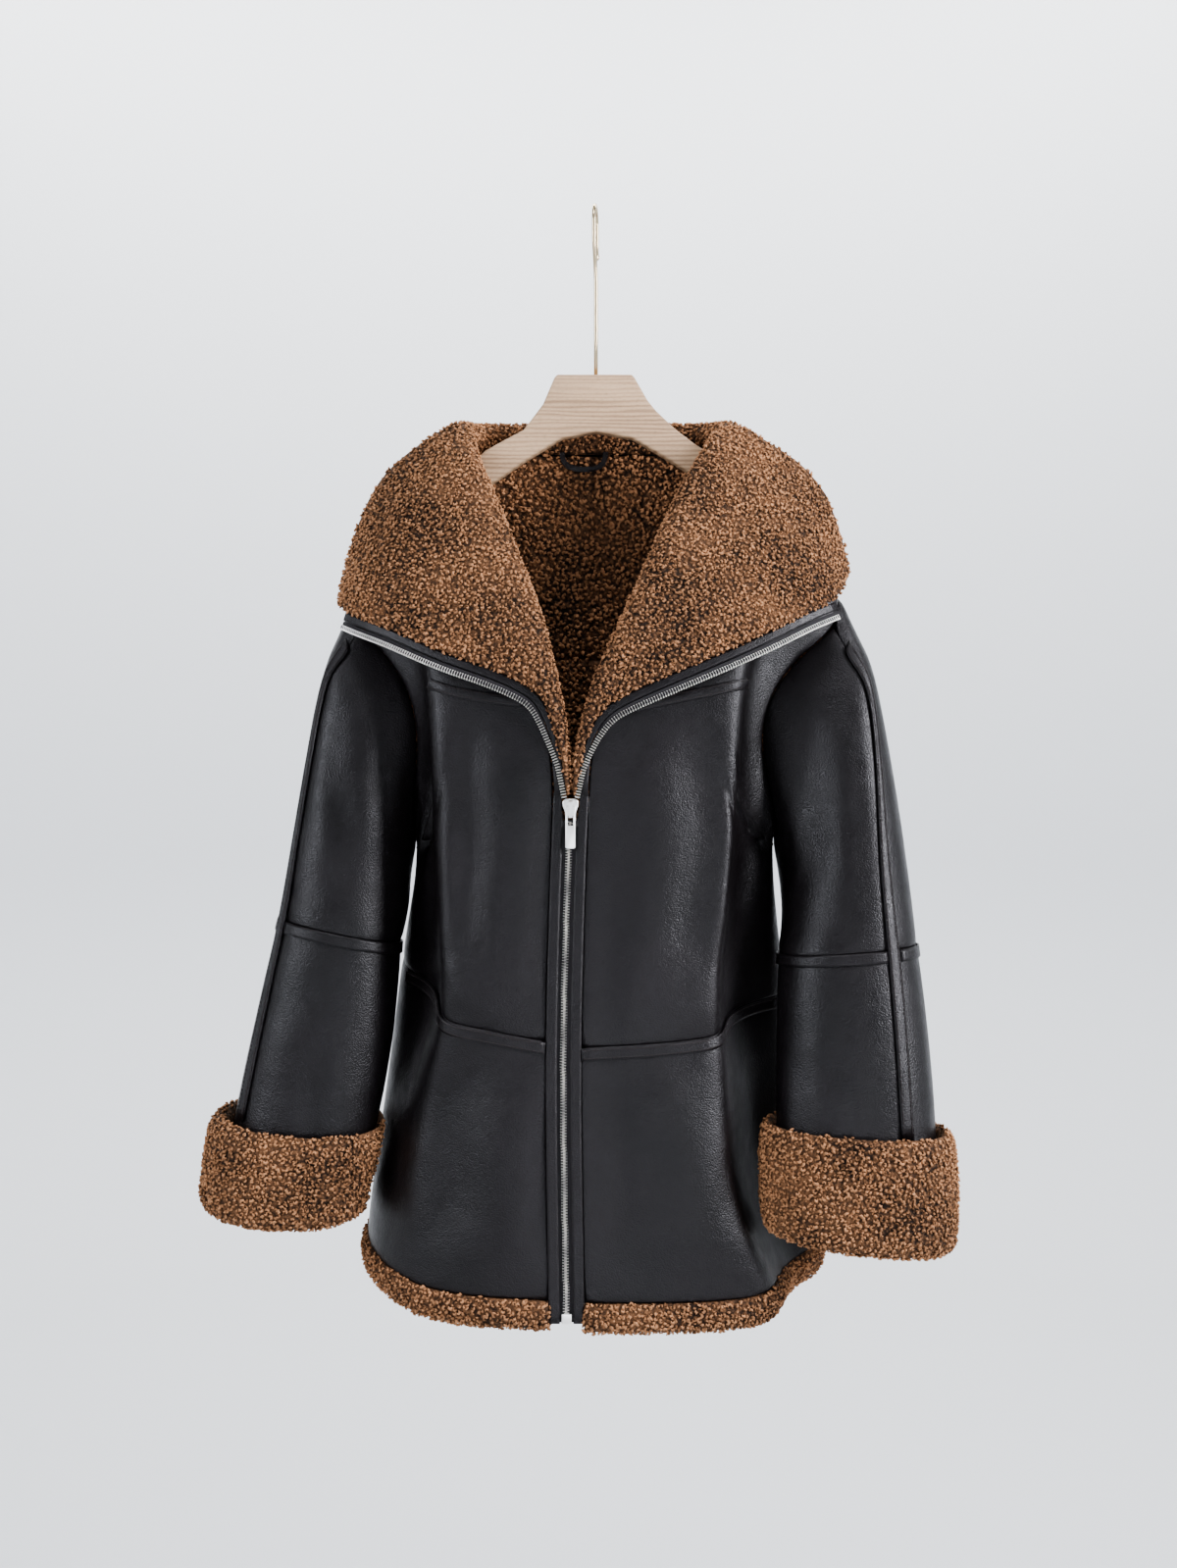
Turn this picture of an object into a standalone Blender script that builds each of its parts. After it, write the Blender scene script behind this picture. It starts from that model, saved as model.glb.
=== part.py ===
# A hip-length leather coat with a curly wool inside, hanging on a wooden hanger.
# The hide is leather outside and wool inside, so each panel is one wall of its real thickness.
# The origin is the inner crown of the hanger's hook. +Z is up, the coat's front faces -Y, and
# +X is the right hand of someone who looks at the front. Sizes are in millimetres until a mesh
# is made. "drop" is the distance below the origin, and "side" is -1 at the left and 1 at the right.

import math

import bmesh
import bpy
import numpy as np

MM = 0.001
SEAM = 0.3                  # gap between two pieces that are sewn together
COAT_WALL = 9.0             # leather with its wool, in the body and the sleeves
COLLAR_WALL = 12.0          # leather with the longer wool of the collar
CUFF_WALL = 13.0            # the turned-back end of a sleeve, wool outside
STRIP = 1.2                 # a strip of thin leather sewn on a panel
ROLL_RADIUS = 9.5           # middle of the wall where the collar rolls over
STAND = 14.0                # hidden part of the collar behind its roll
ROUNDNESS = 2.4             # exponent of the body's rounded sections
BACK_CENTRE = -3.0

HOOK_WIRE = 3.5
HOOK_BEND = 15.0            # inner radius of the hook, whose legs stand in front and behind
HANGER_THICK = 12.0
SHOULDER_POINT = 340.0
UNDERARM = 562.0
SLIDER_TOP = 512.0


def table(columns, *rows):
    return dict(zip(columns.split(), np.array(rows, float).T))


# Sections of the body, leather outside. left and right are half widths from the hanger's middle,
# front and back are depths, fold is the edge where the front turns back beside the sleeve,
# behind is the depth of the crease there, crisp is how sharply it turns, from 0 to 1, and seam
# is the depth of the side seam.
BODY = table(
    "drop left right front back fold_left fold_right behind_left behind_right crisp_left crisp_right "
    "seam_left seam_right",
    (195, 84, 84, 15, 46, 60, 60, 0, 0, 0, 0, 0, 0),
    (205, 101, 101, 20, 50, 70, 70, 0, 0, 0, 0, 0, 0),
    (222, 133, 133, 27, 53, 95, 95, 5, 5, 0, 0, 0, 0),
    (241, 163, 164, 33, 57, 120, 120, 10, 10, 0, 0, 0, 0),
    (262, 181, 184, 40, 60, 135, 132, 15, 15, 0, 0, 0, 0),
    (290, 193, 197, 49, 63, 141, 130, 20, 20, 0, 0, 0, 0),
    (316, 203, 204, 57, 65, 142, 129, 22, 22, 0.1, 0.1, 0, 0),
    (338, 211, 214, 63, 66, 142, 128, 24, 24, 0.3, 0.3, 0, 0),
    (400, 208, 215, 77, 68, 141, 125, 28, 28, 0.9, 0.9, 0, 0),
    (480, 186, 190, 84, 68, 138, 121, 28, 28, 1.0, 1.0, 0, 0),
    (562, 157, 156, 87, 70, 134, 115, 28, 28, 1.0, 1.0, 0, 2),
    (640, 169, 163, 90, 74, 131, 107, 28, 28, 1.0, 1.0, 22, 16),
    (700, 177, 170, 94, 79, 127, 98, 28, 28, 0.8, 0.8, 27, 20),
    (760, 184, 176, 99, 84, 128, 102, 27, 18, 0.3, 0.7, 28, 24),
    (840, 195, 188, 105, 91, 140, 112, 24, 4, 0.0, 0.9, 24, 32),
    (925, 205, 205, 111, 98, 150, 136, 34, 16, 0.0, 0.5, 22, 34))

# Sections of the collar's outer wool where it lies over the shoulders.
CAPE = table(
    "drop left right front back",
    (160, 88, 88, 14, 52),
    (174, 106, 106, 23, 62),
    (195, 135, 134, 34, 71),
    (221, 178, 181, 46, 79),
    (238, 191, 196, 53, 83),
    (260, 204, 209, 61, 87),
    (281, 212, 218, 68, 90),
    (303, 221, 225, 75, 92),
    (333, 229, 231, 84, 94),
    (360, 234, 236, 91, 95),
    (420, 238, 240, 103, 96),
    (530, 240, 242, 108, 96))

# The lapels from the slider up: where each rolls over, and its free edge, in front view.
LAPEL_LEFT = table(
    "roll_x roll_drop edge_x edge_drop",
    (-22.0, 506, -24.4, 506.5),
    (-24.6, 477, -30.0, 474),
    (-28.3, 441, -39.5, 438),
    (-33.2, 409, -53.9, 423),
    (-39.8, 368, -86.2, 408),
    (-58.9, 318, -127.0, 395),
    (-75.9, 275, -169.2, 375),
    (-91.0, 237, -200.0, 364),
    (-98.0, 203, -219.3, 356),
    (-101.5, 177, -230.0, 344))
LAPEL_RIGHT = table(
    "roll_x roll_drop edge_x edge_drop",
    (-18.6, 506, -16.2, 506.5),
    (-14.8, 477, -10.6, 474),
    (-11.6, 457, -1.2, 449),
    (-6.0, 425, 14.0, 434),
    (10.1, 384, 58.1, 415),
    (30.4, 340, 107.0, 394),
    (49.6, 292, 148.7, 375),
    (68.4, 250, 183.5, 357),
    (88.2, 203, 209.4, 347),
    (101.5, 177, 227.0, 322))

# The collar from one shoulder round the back of the neck. around is 1 at the shoulder's ridge
# and 2 at the centre back.
COLLAR = table(
    "around roll_drop edge_left edge_right",
    (1.00, 177, 344, 322),
    (1.14, 174, 348, 330),
    (1.32, 172, 352, 340),
    (1.54, 170, 356, 348),
    (1.77, 169, 358, 355),
    (2.00, 168, 358, 358))

# Where the outer end of each row of a panel meets the shoulder seam, armhole or side seam.
FRONT_ARMHOLE = (562, 534, 506, 476, 446, 418, 392, 370, 352, 340)
YOKE_ARMHOLE = (340, 343, 347, 352, 359, 366, 374, 383, 392)
BACK_ARMHOLE = (392, 418, 446, 476, 506, 534, 562)
BELOW_SLIDER = (545, 590, 640, 680)
BELOW_ARMHOLE = (582, 602, 622, 640)
LOWER_SHARES = (0, 0.12, 0.3, 0.5, 0.7, 0.87, 1)
YOKE_CENTRE = (250, 320, 392)

# The seam above the pockets and the hem, from the zip round to the side seam.
POCKET_SEAM = table("around left right", (0.0, 718, 722), (0.3, 708, 718), (0.5, 700, 713),
                    (0.62, 684, 704), (0.8, 668, 690), (1.0, 655, 684))
HEM = table("around left right", (0.0, 923, 925), (0.35, 921, 927), (0.6, 910, 921),
            (0.85, 898, 909), (1.0, 893, 903), (1.3, 893, 900), (2.0, 900, 900))

# Sections of a sleeve from below the armhole to its end inside the cuff.
SLEEVE_LEFT = table(
    "outer_x outer_drop inner_x inner_drop middle_y half_depth",
    (237, 402, 161, 588, -4, 47),
    (250, 472, 162, 612, -8, 49),
    (262, 546, 166, 630, -13, 50),
    (273, 619, 168, 641, -18, 50),
    (284, 665, 170, 682, -24, 49),
    (296, 718, 175, 730, -30, 47),
    (308, 773, 185, 781, -35, 45),
    (317, 840, 201, 844, -37, 43),
    (321, 864, 205, 868, -38, 43))
SLEEVE_RIGHT = table(
    "outer_x outer_drop inner_x inner_drop middle_y half_depth",
    (243, 402, 160, 588, -6, 47),
    (255, 472, 162, 612, -15, 49),
    (266, 546, 160, 631, -25, 50),
    (276, 641, 156, 649, -36, 50),
    (280, 684, 154, 688, -46, 48),
    (284, 736, 152, 736, -56, 46),
    (287, 794, 151, 786, -64, 44),
    (287, 868, 152, 856, -69, 42),
    (287, 896, 152, 880, -70, 42))
HEAD_ROWS = 2               # rows between the armhole and a sleeve's first section
ELBOW = 6                   # row of the seam across the elbow, counted from the armhole
SLEEVE_END = 10
STRAP_COLUMN = 2            # column of the long seam that the strap covers
UNDER_COLUMN = 9            # column of the seam under the arm
STRAP_ANGLE = {-1: 33.0, 1: 62.0}
DROOP = {-1: 18.0, 1: 5.0}  # how much lower a cuff hangs in front than behind
CUFF_LEAN = {-1: 6.0, 1: 0.0}
STRAP_WIDTH = 12.0
BAND_WIDTH = 10.0

# The hanger, seen from the front: (x, z) of its raised middle and its lower edge. Its arms follow
# the inside of the coat's shoulders.
HANGER_TOP = 146.8
HANGER_LEFT_TOP = ((84.0, -206.5), (62.8, -195.2), (45.8, -172.8), (35.6, -149.0), (33.0, -146.8))
HANGER_RIGHT_TOP = ((31.5, -146.8), (34.0, -149.0), (45.6, -169.4), (52.9, -178.4), (69.7, -194.3),
                    (86.5, -207.2))
HANGER_ARM = ((96, -213.1), (104, -220.6), (112, -225.6), (120, -230.9), (128, -236.3),
              (136, -241.1), (144, -246.5), (152, -252.9), (160, -260.1), (165, -266.7),
              (166, -274.0), (162, -280.0), (155, -282.0), (146, -278.0))
HANGER_UNDER = ((-120, -259), (-86.8, -239.9), (-62.8, -223.2), (-29.2, -202.7), (0.7, -196.9),
                (32.4, -202.7), (54.8, -215.8), (77.2, -229.6), (120, -256))
LOOP_PATH = ((-29.7, -206), (-29.4, -210.5), (-27.8, -215), (-24.2, -218.6), (-18, -220.8),
             (-10, -221.4), (-2, -221), (3.6, -219), (7.2, -215.6), (9, -211), (9.5, -206))
LOOP_WIDTH = 4.6
LOOP_THICK = 2.5
LOOP_Y = 40.1
HINGE_DROP = 524.0          # axis of the pull tab, across the slider's bridge
HINGE_OUT = 2.15            # from the slider's face to that axis
SLIDER_THICK = 6.0
SLIDER_OUT = 3.4            # how far the slider stands out from the front's face
BRIDGE_WIDTH = 3.3
TAB_WIDTH = 8.4
TAB_LENGTH = 35.0
TAB_THICK = 1.8
TAB_BAR = 2.2
TAB_WINDOW = 4.4
CHAIN_TOP = 534.5           # where the closed zip starts, just under the slider
STOP_HEIGHT = 7.5           # of the box in front of the tapes' ends at the zip's bottom
STOP_WIDTH = 8.0
STOP_THICK = 2.0
TAPE_HALF = 0.5             # half thickness of the open zip's tape, and of its teeth
TEETH_HALF = 1.5

LEATHER = ("dark brown leather", (0.034, 0.027, 0.027), 0.45, 0.0)
STRAP_LEATHER = ("dark brown strip leather", (0.030, 0.024, 0.025), 0.42, 0.0)
WOOL = ("caramel curly wool", (0.42, 0.24, 0.12), 0.95, 0.0)
TAPE = ("zip tape", (0.02, 0.018, 0.02), 0.9, 0.0)
NICKEL = ("nickel", (0.72, 0.71, 0.69), 0.28, 1.0)
WOOD = ("raw pale wood", (0.76, 0.60, 0.45), 0.6, 0.0)
WIRE = ("plated hook wire", (0.72, 0.62, 0.48), 0.25, 1.0)


def smooth(xs, ys, x):
    """A curve through the points that never swings past them."""
    xs, ys = np.asarray(xs, float), np.asarray(ys, float)
    steps = np.diff(xs)
    slopes = np.diff(ys) / steps
    tangents = np.zeros_like(ys)
    tangents[0], tangents[-1] = slopes[0], slopes[-1]
    for i in range(1, len(xs) - 1):
        a, b = slopes[i - 1], slopes[i]
        if a * b > 0:
            p, q = 2 * steps[i] + steps[i - 1], steps[i] + 2 * steps[i - 1]
            tangents[i] = (p + q) / (p / a + q / b)
    x = min(max(x, xs[0]), xs[-1])
    i = min(int(np.searchsorted(xs, x, side="right")) - 1, len(steps) - 1)
    t = (x - xs[i]) / steps[i]
    return (ys[i] * (1 + 2 * t) * (1 - t) ** 2 + ys[i + 1] * t * t * (3 - 2 * t)
            + steps[i] * (tangents[i] * t * (1 - t) ** 2 + tangents[i + 1] * t * t * (t - 1)))


def value(tab, key, drop):
    return smooth(tab["drop"], tab[key], drop)


def hand(side):
    return "left" if side < 0 else "right"


def zip_x(drop):
    """The zip's line, which hangs a little left of the hanger's middle."""
    return smooth((195, 400, 520, 560, 737, 940), (-3, -18, -20.7, -22.4, -26.6, -23.7), drop)


def rounded(around, half, front, back, seam, centre_x, side):
    """A point of a rounded section. around is 0 at the front, 1 at the side and 2 at the back."""
    angle = around * math.pi / 2
    out = abs(math.sin(angle)) ** (2 / ROUNDNESS)
    deep = abs(math.cos(angle)) ** (2 / ROUNDNESS)
    middle = centre_x if around < 1 else BACK_CENTRE
    x = middle + (side * half - middle) * out
    y = (-front if around < 1 else back) * deep + seam * (1 - deep)
    return np.array((x, y))


def body(side, around, drop):
    """A point on the outside of the coat's body."""
    half, front, back = (value(BODY, key, drop) for key in (hand(side), "front", "back"))
    seam = value(BODY, "seam_" + hand(side), drop)
    centre = zip_x(drop)
    point = rounded(around, half, front, back, seam, centre, side)
    crisp = value(BODY, "crisp_" + hand(side), drop)
    if around < 1 and crisp > 0:
        behind = value(BODY, "behind_" + hand(side), drop)
        reach = side * half - centre
        fold = side * value(BODY, "fold_" + hand(side), drop) - centre
        ways = (0, 0.28, 0.46, 0.55, 0.63, 0.73, 0.86, 1)
        xs = (0, 0.5 * fold, fold - side * 10, fold, fold + side, fold + 0.3 * (reach - fold),
              reach - side * 4, reach)
        ys = (-front, -front - 1, -front + 4, -front + 15, -front + 34, -behind,
              0.45 * seam - 0.55 * behind, seam)
        folded = np.array((centre + smooth(ways, xs, around), smooth(ways, ys, around)))
        point = (1 - crisp) * point + crisp * folded
    return np.array((point[0], point[1], -drop))


def cape(side, around, drop):
    """A point on the wool of the collar where it lies over the shoulders."""
    half, front, back = (value(CAPE, key, drop) for key in (hand(side), "front", "back"))
    x, y = rounded(around, half, front, back, 0, zip_x(drop), side)
    return np.array((x, y, -drop))


def outward(surface, side, around, drop):
    """The unit normal of a surface, away from the wearer."""
    step_a, step_d = 0.004, 0.8
    low, high = max(around - step_a, 0), min(around + step_a, 2)
    along = surface(side, high, drop) - surface(side, low, drop)
    down = surface(side, around, drop + step_d) - surface(side, around, drop - step_d)
    normal = -side * np.cross(along, down)
    return normal / np.linalg.norm(normal)


def cape_around(side, x, drop):
    """How far round the collar a point of the front view lies."""
    centre = zip_x(drop)
    share = min(1.0, max(0.0, (x - centre) / (side * value(CAPE, hand(side), drop) - centre)))
    return math.asin(share ** (ROUNDNESS / 2)) * 2 / math.pi


def armhole(side, drop, back):
    """How far round the body the armhole's edge lies, which is the side seam outside it."""
    if drop <= SHOULDER_POINT or drop >= UNDERARM:
        return 1.0
    share = (drop - SHOULDER_POINT) / (UNDERARM - SHOULDER_POINT)
    width = math.sin(math.pi * share) ** 0.6
    return 1 + 0.3 * width if back else 1 - 0.28 * width


def unit(vector):
    return vector / np.linalg.norm(vector)


# ---------------------------------------------------------------- meshes

collection = None


def material(finish):
    name, colour, roughness, metallic = finish
    found = bpy.data.materials.get(name)
    if found:
        return found
    made = bpy.data.materials.new(name)
    made.use_nodes = True
    shader = made.node_tree.nodes["Principled BSDF"]
    shader.inputs["Base Color"].default_value = (*colour, 1)
    shader.inputs["Roughness"].default_value = roughness
    shader.inputs["Metallic"].default_value = metallic
    return made


def add_object(name, mesh, finish, sharp=40):
    mesh.materials.append(material(finish))
    mesh.shade_smooth()
    mesh.set_sharp_from_angle(angle=math.radians(sharp))
    made = bpy.data.objects.new(name, mesh)
    collection.objects.link(made)
    return made


def closed_mesh(name, points, faces, finish):
    """A mesh in metres, with its faces turned outwards."""
    mesh = bpy.data.meshes.new(name)
    mesh.from_pydata([tuple(p * MM for p in point) for point in points], [], faces)
    work = bmesh.new()
    work.from_mesh(mesh)
    bmesh.ops.recalc_face_normals(work, faces=work.faces)
    work.to_mesh(mesh)
    work.free()
    return add_object(name, mesh, finish)


def trimmed(grid, edges):
    """A grid of points drawn back by half a seam at the named edges."""
    grid = grid.copy()
    half = SEAM / 2 + 0.03
    for edge in edges:
        line, inner = {"top": ((0,), (1,)), "bottom": ((-1,), (-2,)),
                       "start": ((slice(None), 0), (slice(None), 1)),
                       "end": ((slice(None), -1), (slice(None), -2))}[edge]
        places = grid[line] if line != (0,) and line != (-1,) else grid[line[0]]
        way = (grid[inner] if len(inner) > 1 else grid[inner[0]]) - places
        run = np.gradient(places, axis=0)
        run /= np.linalg.norm(run, axis=-1, keepdims=True)
        way -= run * (way * run).sum(axis=-1, keepdims=True)
        places = places + half * way / np.linalg.norm(way, axis=-1, keepdims=True)
        if len(line) > 1:
            grid[line] = places
        else:
            grid[line[0]] = places
    return grid


SPLIT = (0.37, 0.21, 1.0)    # both walls of a seam are split into triangles the same way


def wall(name, outer, inner, finish, edges=("top", "bottom", "start", "end")):
    """A panel: a grid of points for each face, with walls round the four edges."""
    outer, inner = trimmed(outer, edges), trimmed(inner, edges)
    rows, columns = outer.shape[:2]
    count = rows * columns
    points = list(outer.reshape(-1, 3)) + list(inner.reshape(-1, 3))
    faces = []
    for r in range(rows - 1):
        for c in range(columns - 1):
            a = r * columns + c
            faces.append((a, a + 1, a + columns + 1, a + columns))
            faces.append(tuple(count + i for i in faces[-1][::-1]))
    rim = [c for c in range(columns)]
    rim += [r * columns + columns - 1 for r in range(1, rows)]
    rim += [(rows - 1) * columns + c for c in range(columns - 2, -1, -1)]
    rim += [r * columns for r in range(rows - 2, 0, -1)]
    for i, a in enumerate(rim):
        b = rim[(i + 1) % len(rim)]
        if np.dot(points[a] - points[b], SPLIT) > 0:
            faces += [(b, a, count + b), (a, count + a, count + b)]
        else:
            faces += [(b, a, count + a), (b, count + a, count + b)]
    return closed_mesh(name, points, faces, finish)


def ring_wall(name, loops, finish):
    """A closed band: loops of points, each a closed section's next line along the band."""
    loops = np.array(loops)
    lines, around = loops.shape[:2]
    faces = [(i * around + k, i * around + (k + 1) % around,
              (i + 1) % lines * around + (k + 1) % around, (i + 1) % lines * around + k)
             for i in range(lines) for k in range(around)]
    return closed_mesh(name, list(loops.reshape(-1, 3)), faces, finish)


# ---------------------------------------------------------------- collar and lapels

CURL = (180, 135, 90, 45)                   # degrees round the roll, from the stand to the fall
FALL = (0.0, 0.1, 0.26, 0.46, 0.68, 0.88, 1.0)
FALL_WALL = (1.0, 1.0, 1.0, 1.0, 1.0, 0.85, 0.5)
FALL_SAG = (0.0, 0.0, 0.1, 0.3, 0.6, 0.85, 1.0)


def collar_section(side, roll, edge, size=1.0, lift=0.0, sag=6.0, stand=STAND):
    """The wool and leather lines of the collar from its hidden stand, over the roll, to its
    edge. roll and edge are (around, drop). size shrinks the section towards the slider."""
    fall = []
    radius = ROLL_RADIUS * size
    reach = radius + COLLAR_WALL * size / 2
    first = min(0.6, reach / np.linalg.norm(cape(side, *edge) - cape(side, *roll)))
    for share, thick, low in zip(FALL, FALL_WALL, FALL_SAG):
        share = first + (1 - first) * share
        around = roll[0] + (edge[0] - roll[0]) * share
        drop = roll[1] + (edge[1] - roll[1]) * share
        normal = outward(cape, side, around, drop)
        wool = cape(side, around, drop) - normal * (lift + sag * low * size)
        fall.append((wool, wool - normal * COLLAR_WALL * size * thick))
    top, leather = fall[0]
    normal = unit(top - leather)
    along = fall[1][0] - top
    along = unit(along - normal * np.dot(along, normal))
    centre = top - normal * reach
    turned = min(COAT_WALL, 2 * radius - 1)
    lines = []
    for degrees in CURL:
        angle = math.radians(degrees)
        thick = COLLAR_WALL * size + (turned - COLLAR_WALL * size) * degrees / 180
        way = normal * math.cos(angle) - along * math.sin(angle)
        lines.append((centre + way * (radius + thick / 2), centre + way * (radius - thick / 2)))
    base = centre - normal * (radius - turned / 2) + along * stand
    lines.insert(0, (base - normal * COAT_WALL, base))
    lines += fall
    return np.array([line[0] for line in lines]), np.array([line[1] for line in lines])


def lapel_sections(side, gap=0.0):
    """The lapel's sections from the slider up to the shoulder's ridge. gap lengthens the stand."""
    rows = LAPEL_LEFT if side < 0 else LAPEL_RIGHT
    sections = []
    for i, drop in enumerate(rows["roll_drop"]):
        last = i == len(rows["roll_drop"]) - 1
        roll = 1.0 if last else cape_around(side, rows["roll_x"][i], drop)
        edge = 1.0 if last else cape_around(side, rows["edge_x"][i], rows["edge_drop"][i])
        size = smooth((0, 35, 75, 150), (0.1, 0.4, 0.65, 1.0), SLIDER_TOP - drop)
        lift = smooth((0, 35, 75, 150), (17, 12, 7, 0), SLIDER_TOP - drop)
        stand = smooth((0, 35, 150), (11, 11, STAND), SLIDER_TOP - drop)
        sections.append(collar_section(side, (roll, drop), (edge, rows["edge_drop"][i]),
                                       size, lift, stand=stand + gap))
    return sections


def collar_sections(side, gap=0.0):
    key = "edge_" + hand(side)
    return [collar_section(side, (around, roll), (around, edge), stand=STAND + gap)
            for around, roll, edge in zip(COLLAR["around"], COLLAR["roll_drop"], COLLAR[key])]


def build_collar():
    for side in (-1, 1):
        sections = lapel_sections(side)
        wall("lapel_" + hand(side), np.array([s[0] for s in sections]),
             np.array([s[1] for s in sections]), WOOL)
    ring = collar_sections(-1) + collar_sections(1)[-2::-1]
    wall("collar", np.array([s[0] for s in ring]), np.array([s[1] for s in ring]), WOOL)


# ---------------------------------------------------------------- body

PLACKET_INNER = 5.5         # from the zip's line to the strip of leather beside it
PLACKET_OUTER = 14.5
FRONT_SHARES = (0, 0.14, 0.28, 0.4, 0.48, 0.545, 0.6, 0.66, 0.73, 0.81, 0.9, 1)
BACK_SHARES = (0, 0.16, 0.32, 0.48, 0.64, 0.8, 0.9, 1)


def around_at(side, offset, drop):
    """How far round the front a point lies that is offset from the zip's line."""
    low, high = 0.0, 0.5
    for _ in range(30):
        middle = (low + high) / 2
        if side * (body(side, middle, drop)[0] - zip_x(drop)) < offset:
            low = middle
        else:
            high = middle
    return low


def around_of(side, x, drop, back):
    """How far round the body the point lies that the front view or the back view shows at x."""
    low, high = (2.0, 1.0) if back else (0.0, 1.0)
    for _ in range(30):
        middle = (low + high) / 2
        if side * body(side, middle, drop)[0] < side * x:
            low = middle
        else:
            high = middle
    return low


def body_pair(side, around, drop):
    """A point on the leather and the point behind it on the wool."""
    leather = body(side, around, drop)
    return leather, leather - outward(body, side, around, drop) * COAT_WALL


def panel_grids(side, rows, shares):
    """Grids over the body. A row is (around, drop) at its inner end and at its outer end."""
    grids = []
    for (start, start_drop), (end, end_drop) in rows:
        grids.append([body_pair(side, start + (end - start) * s,
                                start_drop + (end_drop - start_drop) * s) for s in shares])
    grids = np.array(grids)
    return grids[:, :, 0], grids[:, :, 1]


def joined(grid, starts):
    """A grid whose first column is drawn onto the given points, and the next ones less."""
    grid = grid.copy()
    for row, start in enumerate(starts):
        ways = np.linalg.norm(grid[row] - grid[row, 0], axis=1)
        ease = np.clip(1 - ways / 60, 0, 1) ** 2
        grid[row] += ease[:, None] * (start - grid[row, 0])
    return grid


def pocket_drop(side, around):
    return smooth(POCKET_SEAM["around"], POCKET_SEAM[hand(side)], around)


def hem_drop(side, around):
    return smooth(HEM["around"], HEM[hand(side)], around)


def front_rows(side, stands):
    """Rows of the front above the pocket seam, from the shoulder down, as far as the slider."""
    rows = []
    for i, (leather, _) in enumerate(stands):
        drop = -leather[2]
        start = 1.0 if i == 0 else around_of(side, leather[0], drop, False)
        side_drop = FRONT_ARMHOLE[-1 - i]
        rows.append(((start, drop), (armhole(side, side_drop, False), side_drop)))
    return rows


def build_front(side):
    stands = [(s[1][0], s[0][0]) for s in lapel_sections(side, 1.0)][::-1]
    outer, inner = panel_grids(side, front_rows(side, stands), FRONT_SHARES)
    outer = joined(outer, [s[0] for s in stands])
    inner = joined(inner, [s[1] for s in stands])
    cut_at_armhole(side, inner, FRONT_ARMHOLE[::-1], False)
    below = []
    for drop, side_drop in zip(BELOW_SLIDER, BELOW_ARMHOLE):
        below.append(((around_at(side, PLACKET_OUTER, drop), drop), (1.0, side_drop)))
    more_outer, more_inner = panel_grids(side, below, FRONT_SHARES)
    start = around_at(side, PLACKET_OUTER, POCKET_SEAM[hand(side)][0])
    seam = np.array([body_pair(side, a, pocket_drop(side, a))
                     for a in [start + (1 - start) * s for s in FRONT_SHARES]])
    outer = np.concatenate((outer, more_outer, seam[None, :, 0]))
    inner = np.concatenate((inner, more_inner, seam[None, :, 1]))
    wall("front_upper_" + hand(side), outer, inner, LEATHER)
    grids = []
    for share in LOWER_SHARES:
        line = []
        top, bottom = pocket_drop(side, 0), hem_drop(side, 0)
        start = around_at(side, PLACKET_OUTER, top + (bottom - top) * share)
        for s in FRONT_SHARES:
            around = start + (1 - start) * s
            top, bottom = pocket_drop(side, around), hem_drop(side, around)
            line.append(body_pair(side, around, top + (bottom - top) * share))
        grids.append(line)
    grids = np.array(grids)
    wall("front_lower_" + hand(side), grids[:, :, 0], grids[:, :, 1], LEATHER)


def build_back(side):
    stands = [(s[1][0], s[0][0]) for s in collar_sections(side, 1.5)]
    starts = [(around_of(side, p[0], -p[2], True), -p[2]) for p, _ in stands]
    starts[0], starts[-1] = (1.0, starts[0][1]), (2.0, starts[-1][1])
    starts += [(2.0, drop) for drop in YOKE_CENTRE]
    rows = []
    for start, drop in zip(starts, YOKE_ARMHOLE):
        rows.append((start, (armhole(side, drop, True), drop)))
    outer, inner = panel_grids(side, rows, BACK_SHARES)
    count = len(stands)
    outer[:count] = joined(outer[:count], [s[0] for s in stands])
    inner[:count] = joined(inner[:count], [s[1] for s in stands])
    cut_at_armhole(side, inner, YOKE_ARMHOLE, True)
    wall("back_yoke_" + hand(side), outer, inner, LEATHER)
    rows = [((2.0, drop), (armhole(side, drop, True), drop)) for drop in BACK_ARMHOLE]
    top, bottom = pocket_drop(side, 1), hem_drop(side, 1)
    sides = BELOW_ARMHOLE + tuple(top + (bottom - top) * share for share in LOWER_SHARES)
    rows += [((2.0, drop), (1.0, drop)) for drop in sides[:-1]]
    outer, inner = panel_grids(side, rows, BACK_SHARES)
    cut_at_armhole(side, inner, BACK_ARMHOLE, True)
    hem = np.array([body_pair(side, 2 - s, hem_drop(side, 2 - s)) for s in BACK_SHARES])
    outer = np.concatenate((outer, hem[None, :, 0]))
    inner = np.concatenate((inner, hem[None, :, 1]))
    wall("back_lower_" + hand(side), outer, inner, LEATHER)



# ---------------------------------------------------------------- sleeves and cuffs

def sleeve_point(side, row, angle):
    """A point on a sleeve below its first rows. angle is 0 away from the body and 90 in front."""
    tab = SLEEVE_LEFT if side < 0 else SLEEVE_RIGHT
    rows = range(1, len(tab["outer_x"]) + 1)
    outer_x, outer_drop, inner_x, inner_drop, middle_y, depth = (
        smooth(rows, tab[key], row) for key in tab)
    c, s = math.cos(math.radians(angle)), math.sin(math.radians(angle))
    out = math.copysign(abs(c) ** 0.87, c)
    deep = math.copysign(abs(s) ** 0.87, s)
    x = side * ((outer_x + inner_x) / 2 + (outer_x - inner_x) / 2 * out)
    drop = (outer_drop + inner_drop) / 2 + (outer_drop - inner_drop) / 2 * out
    low = smooth((4.5, 7), (0, 1), row) * DROOP[side] * (0.5 + 0.5 * s)
    return np.array((x, middle_y - depth * deep, -drop - low))


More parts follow.
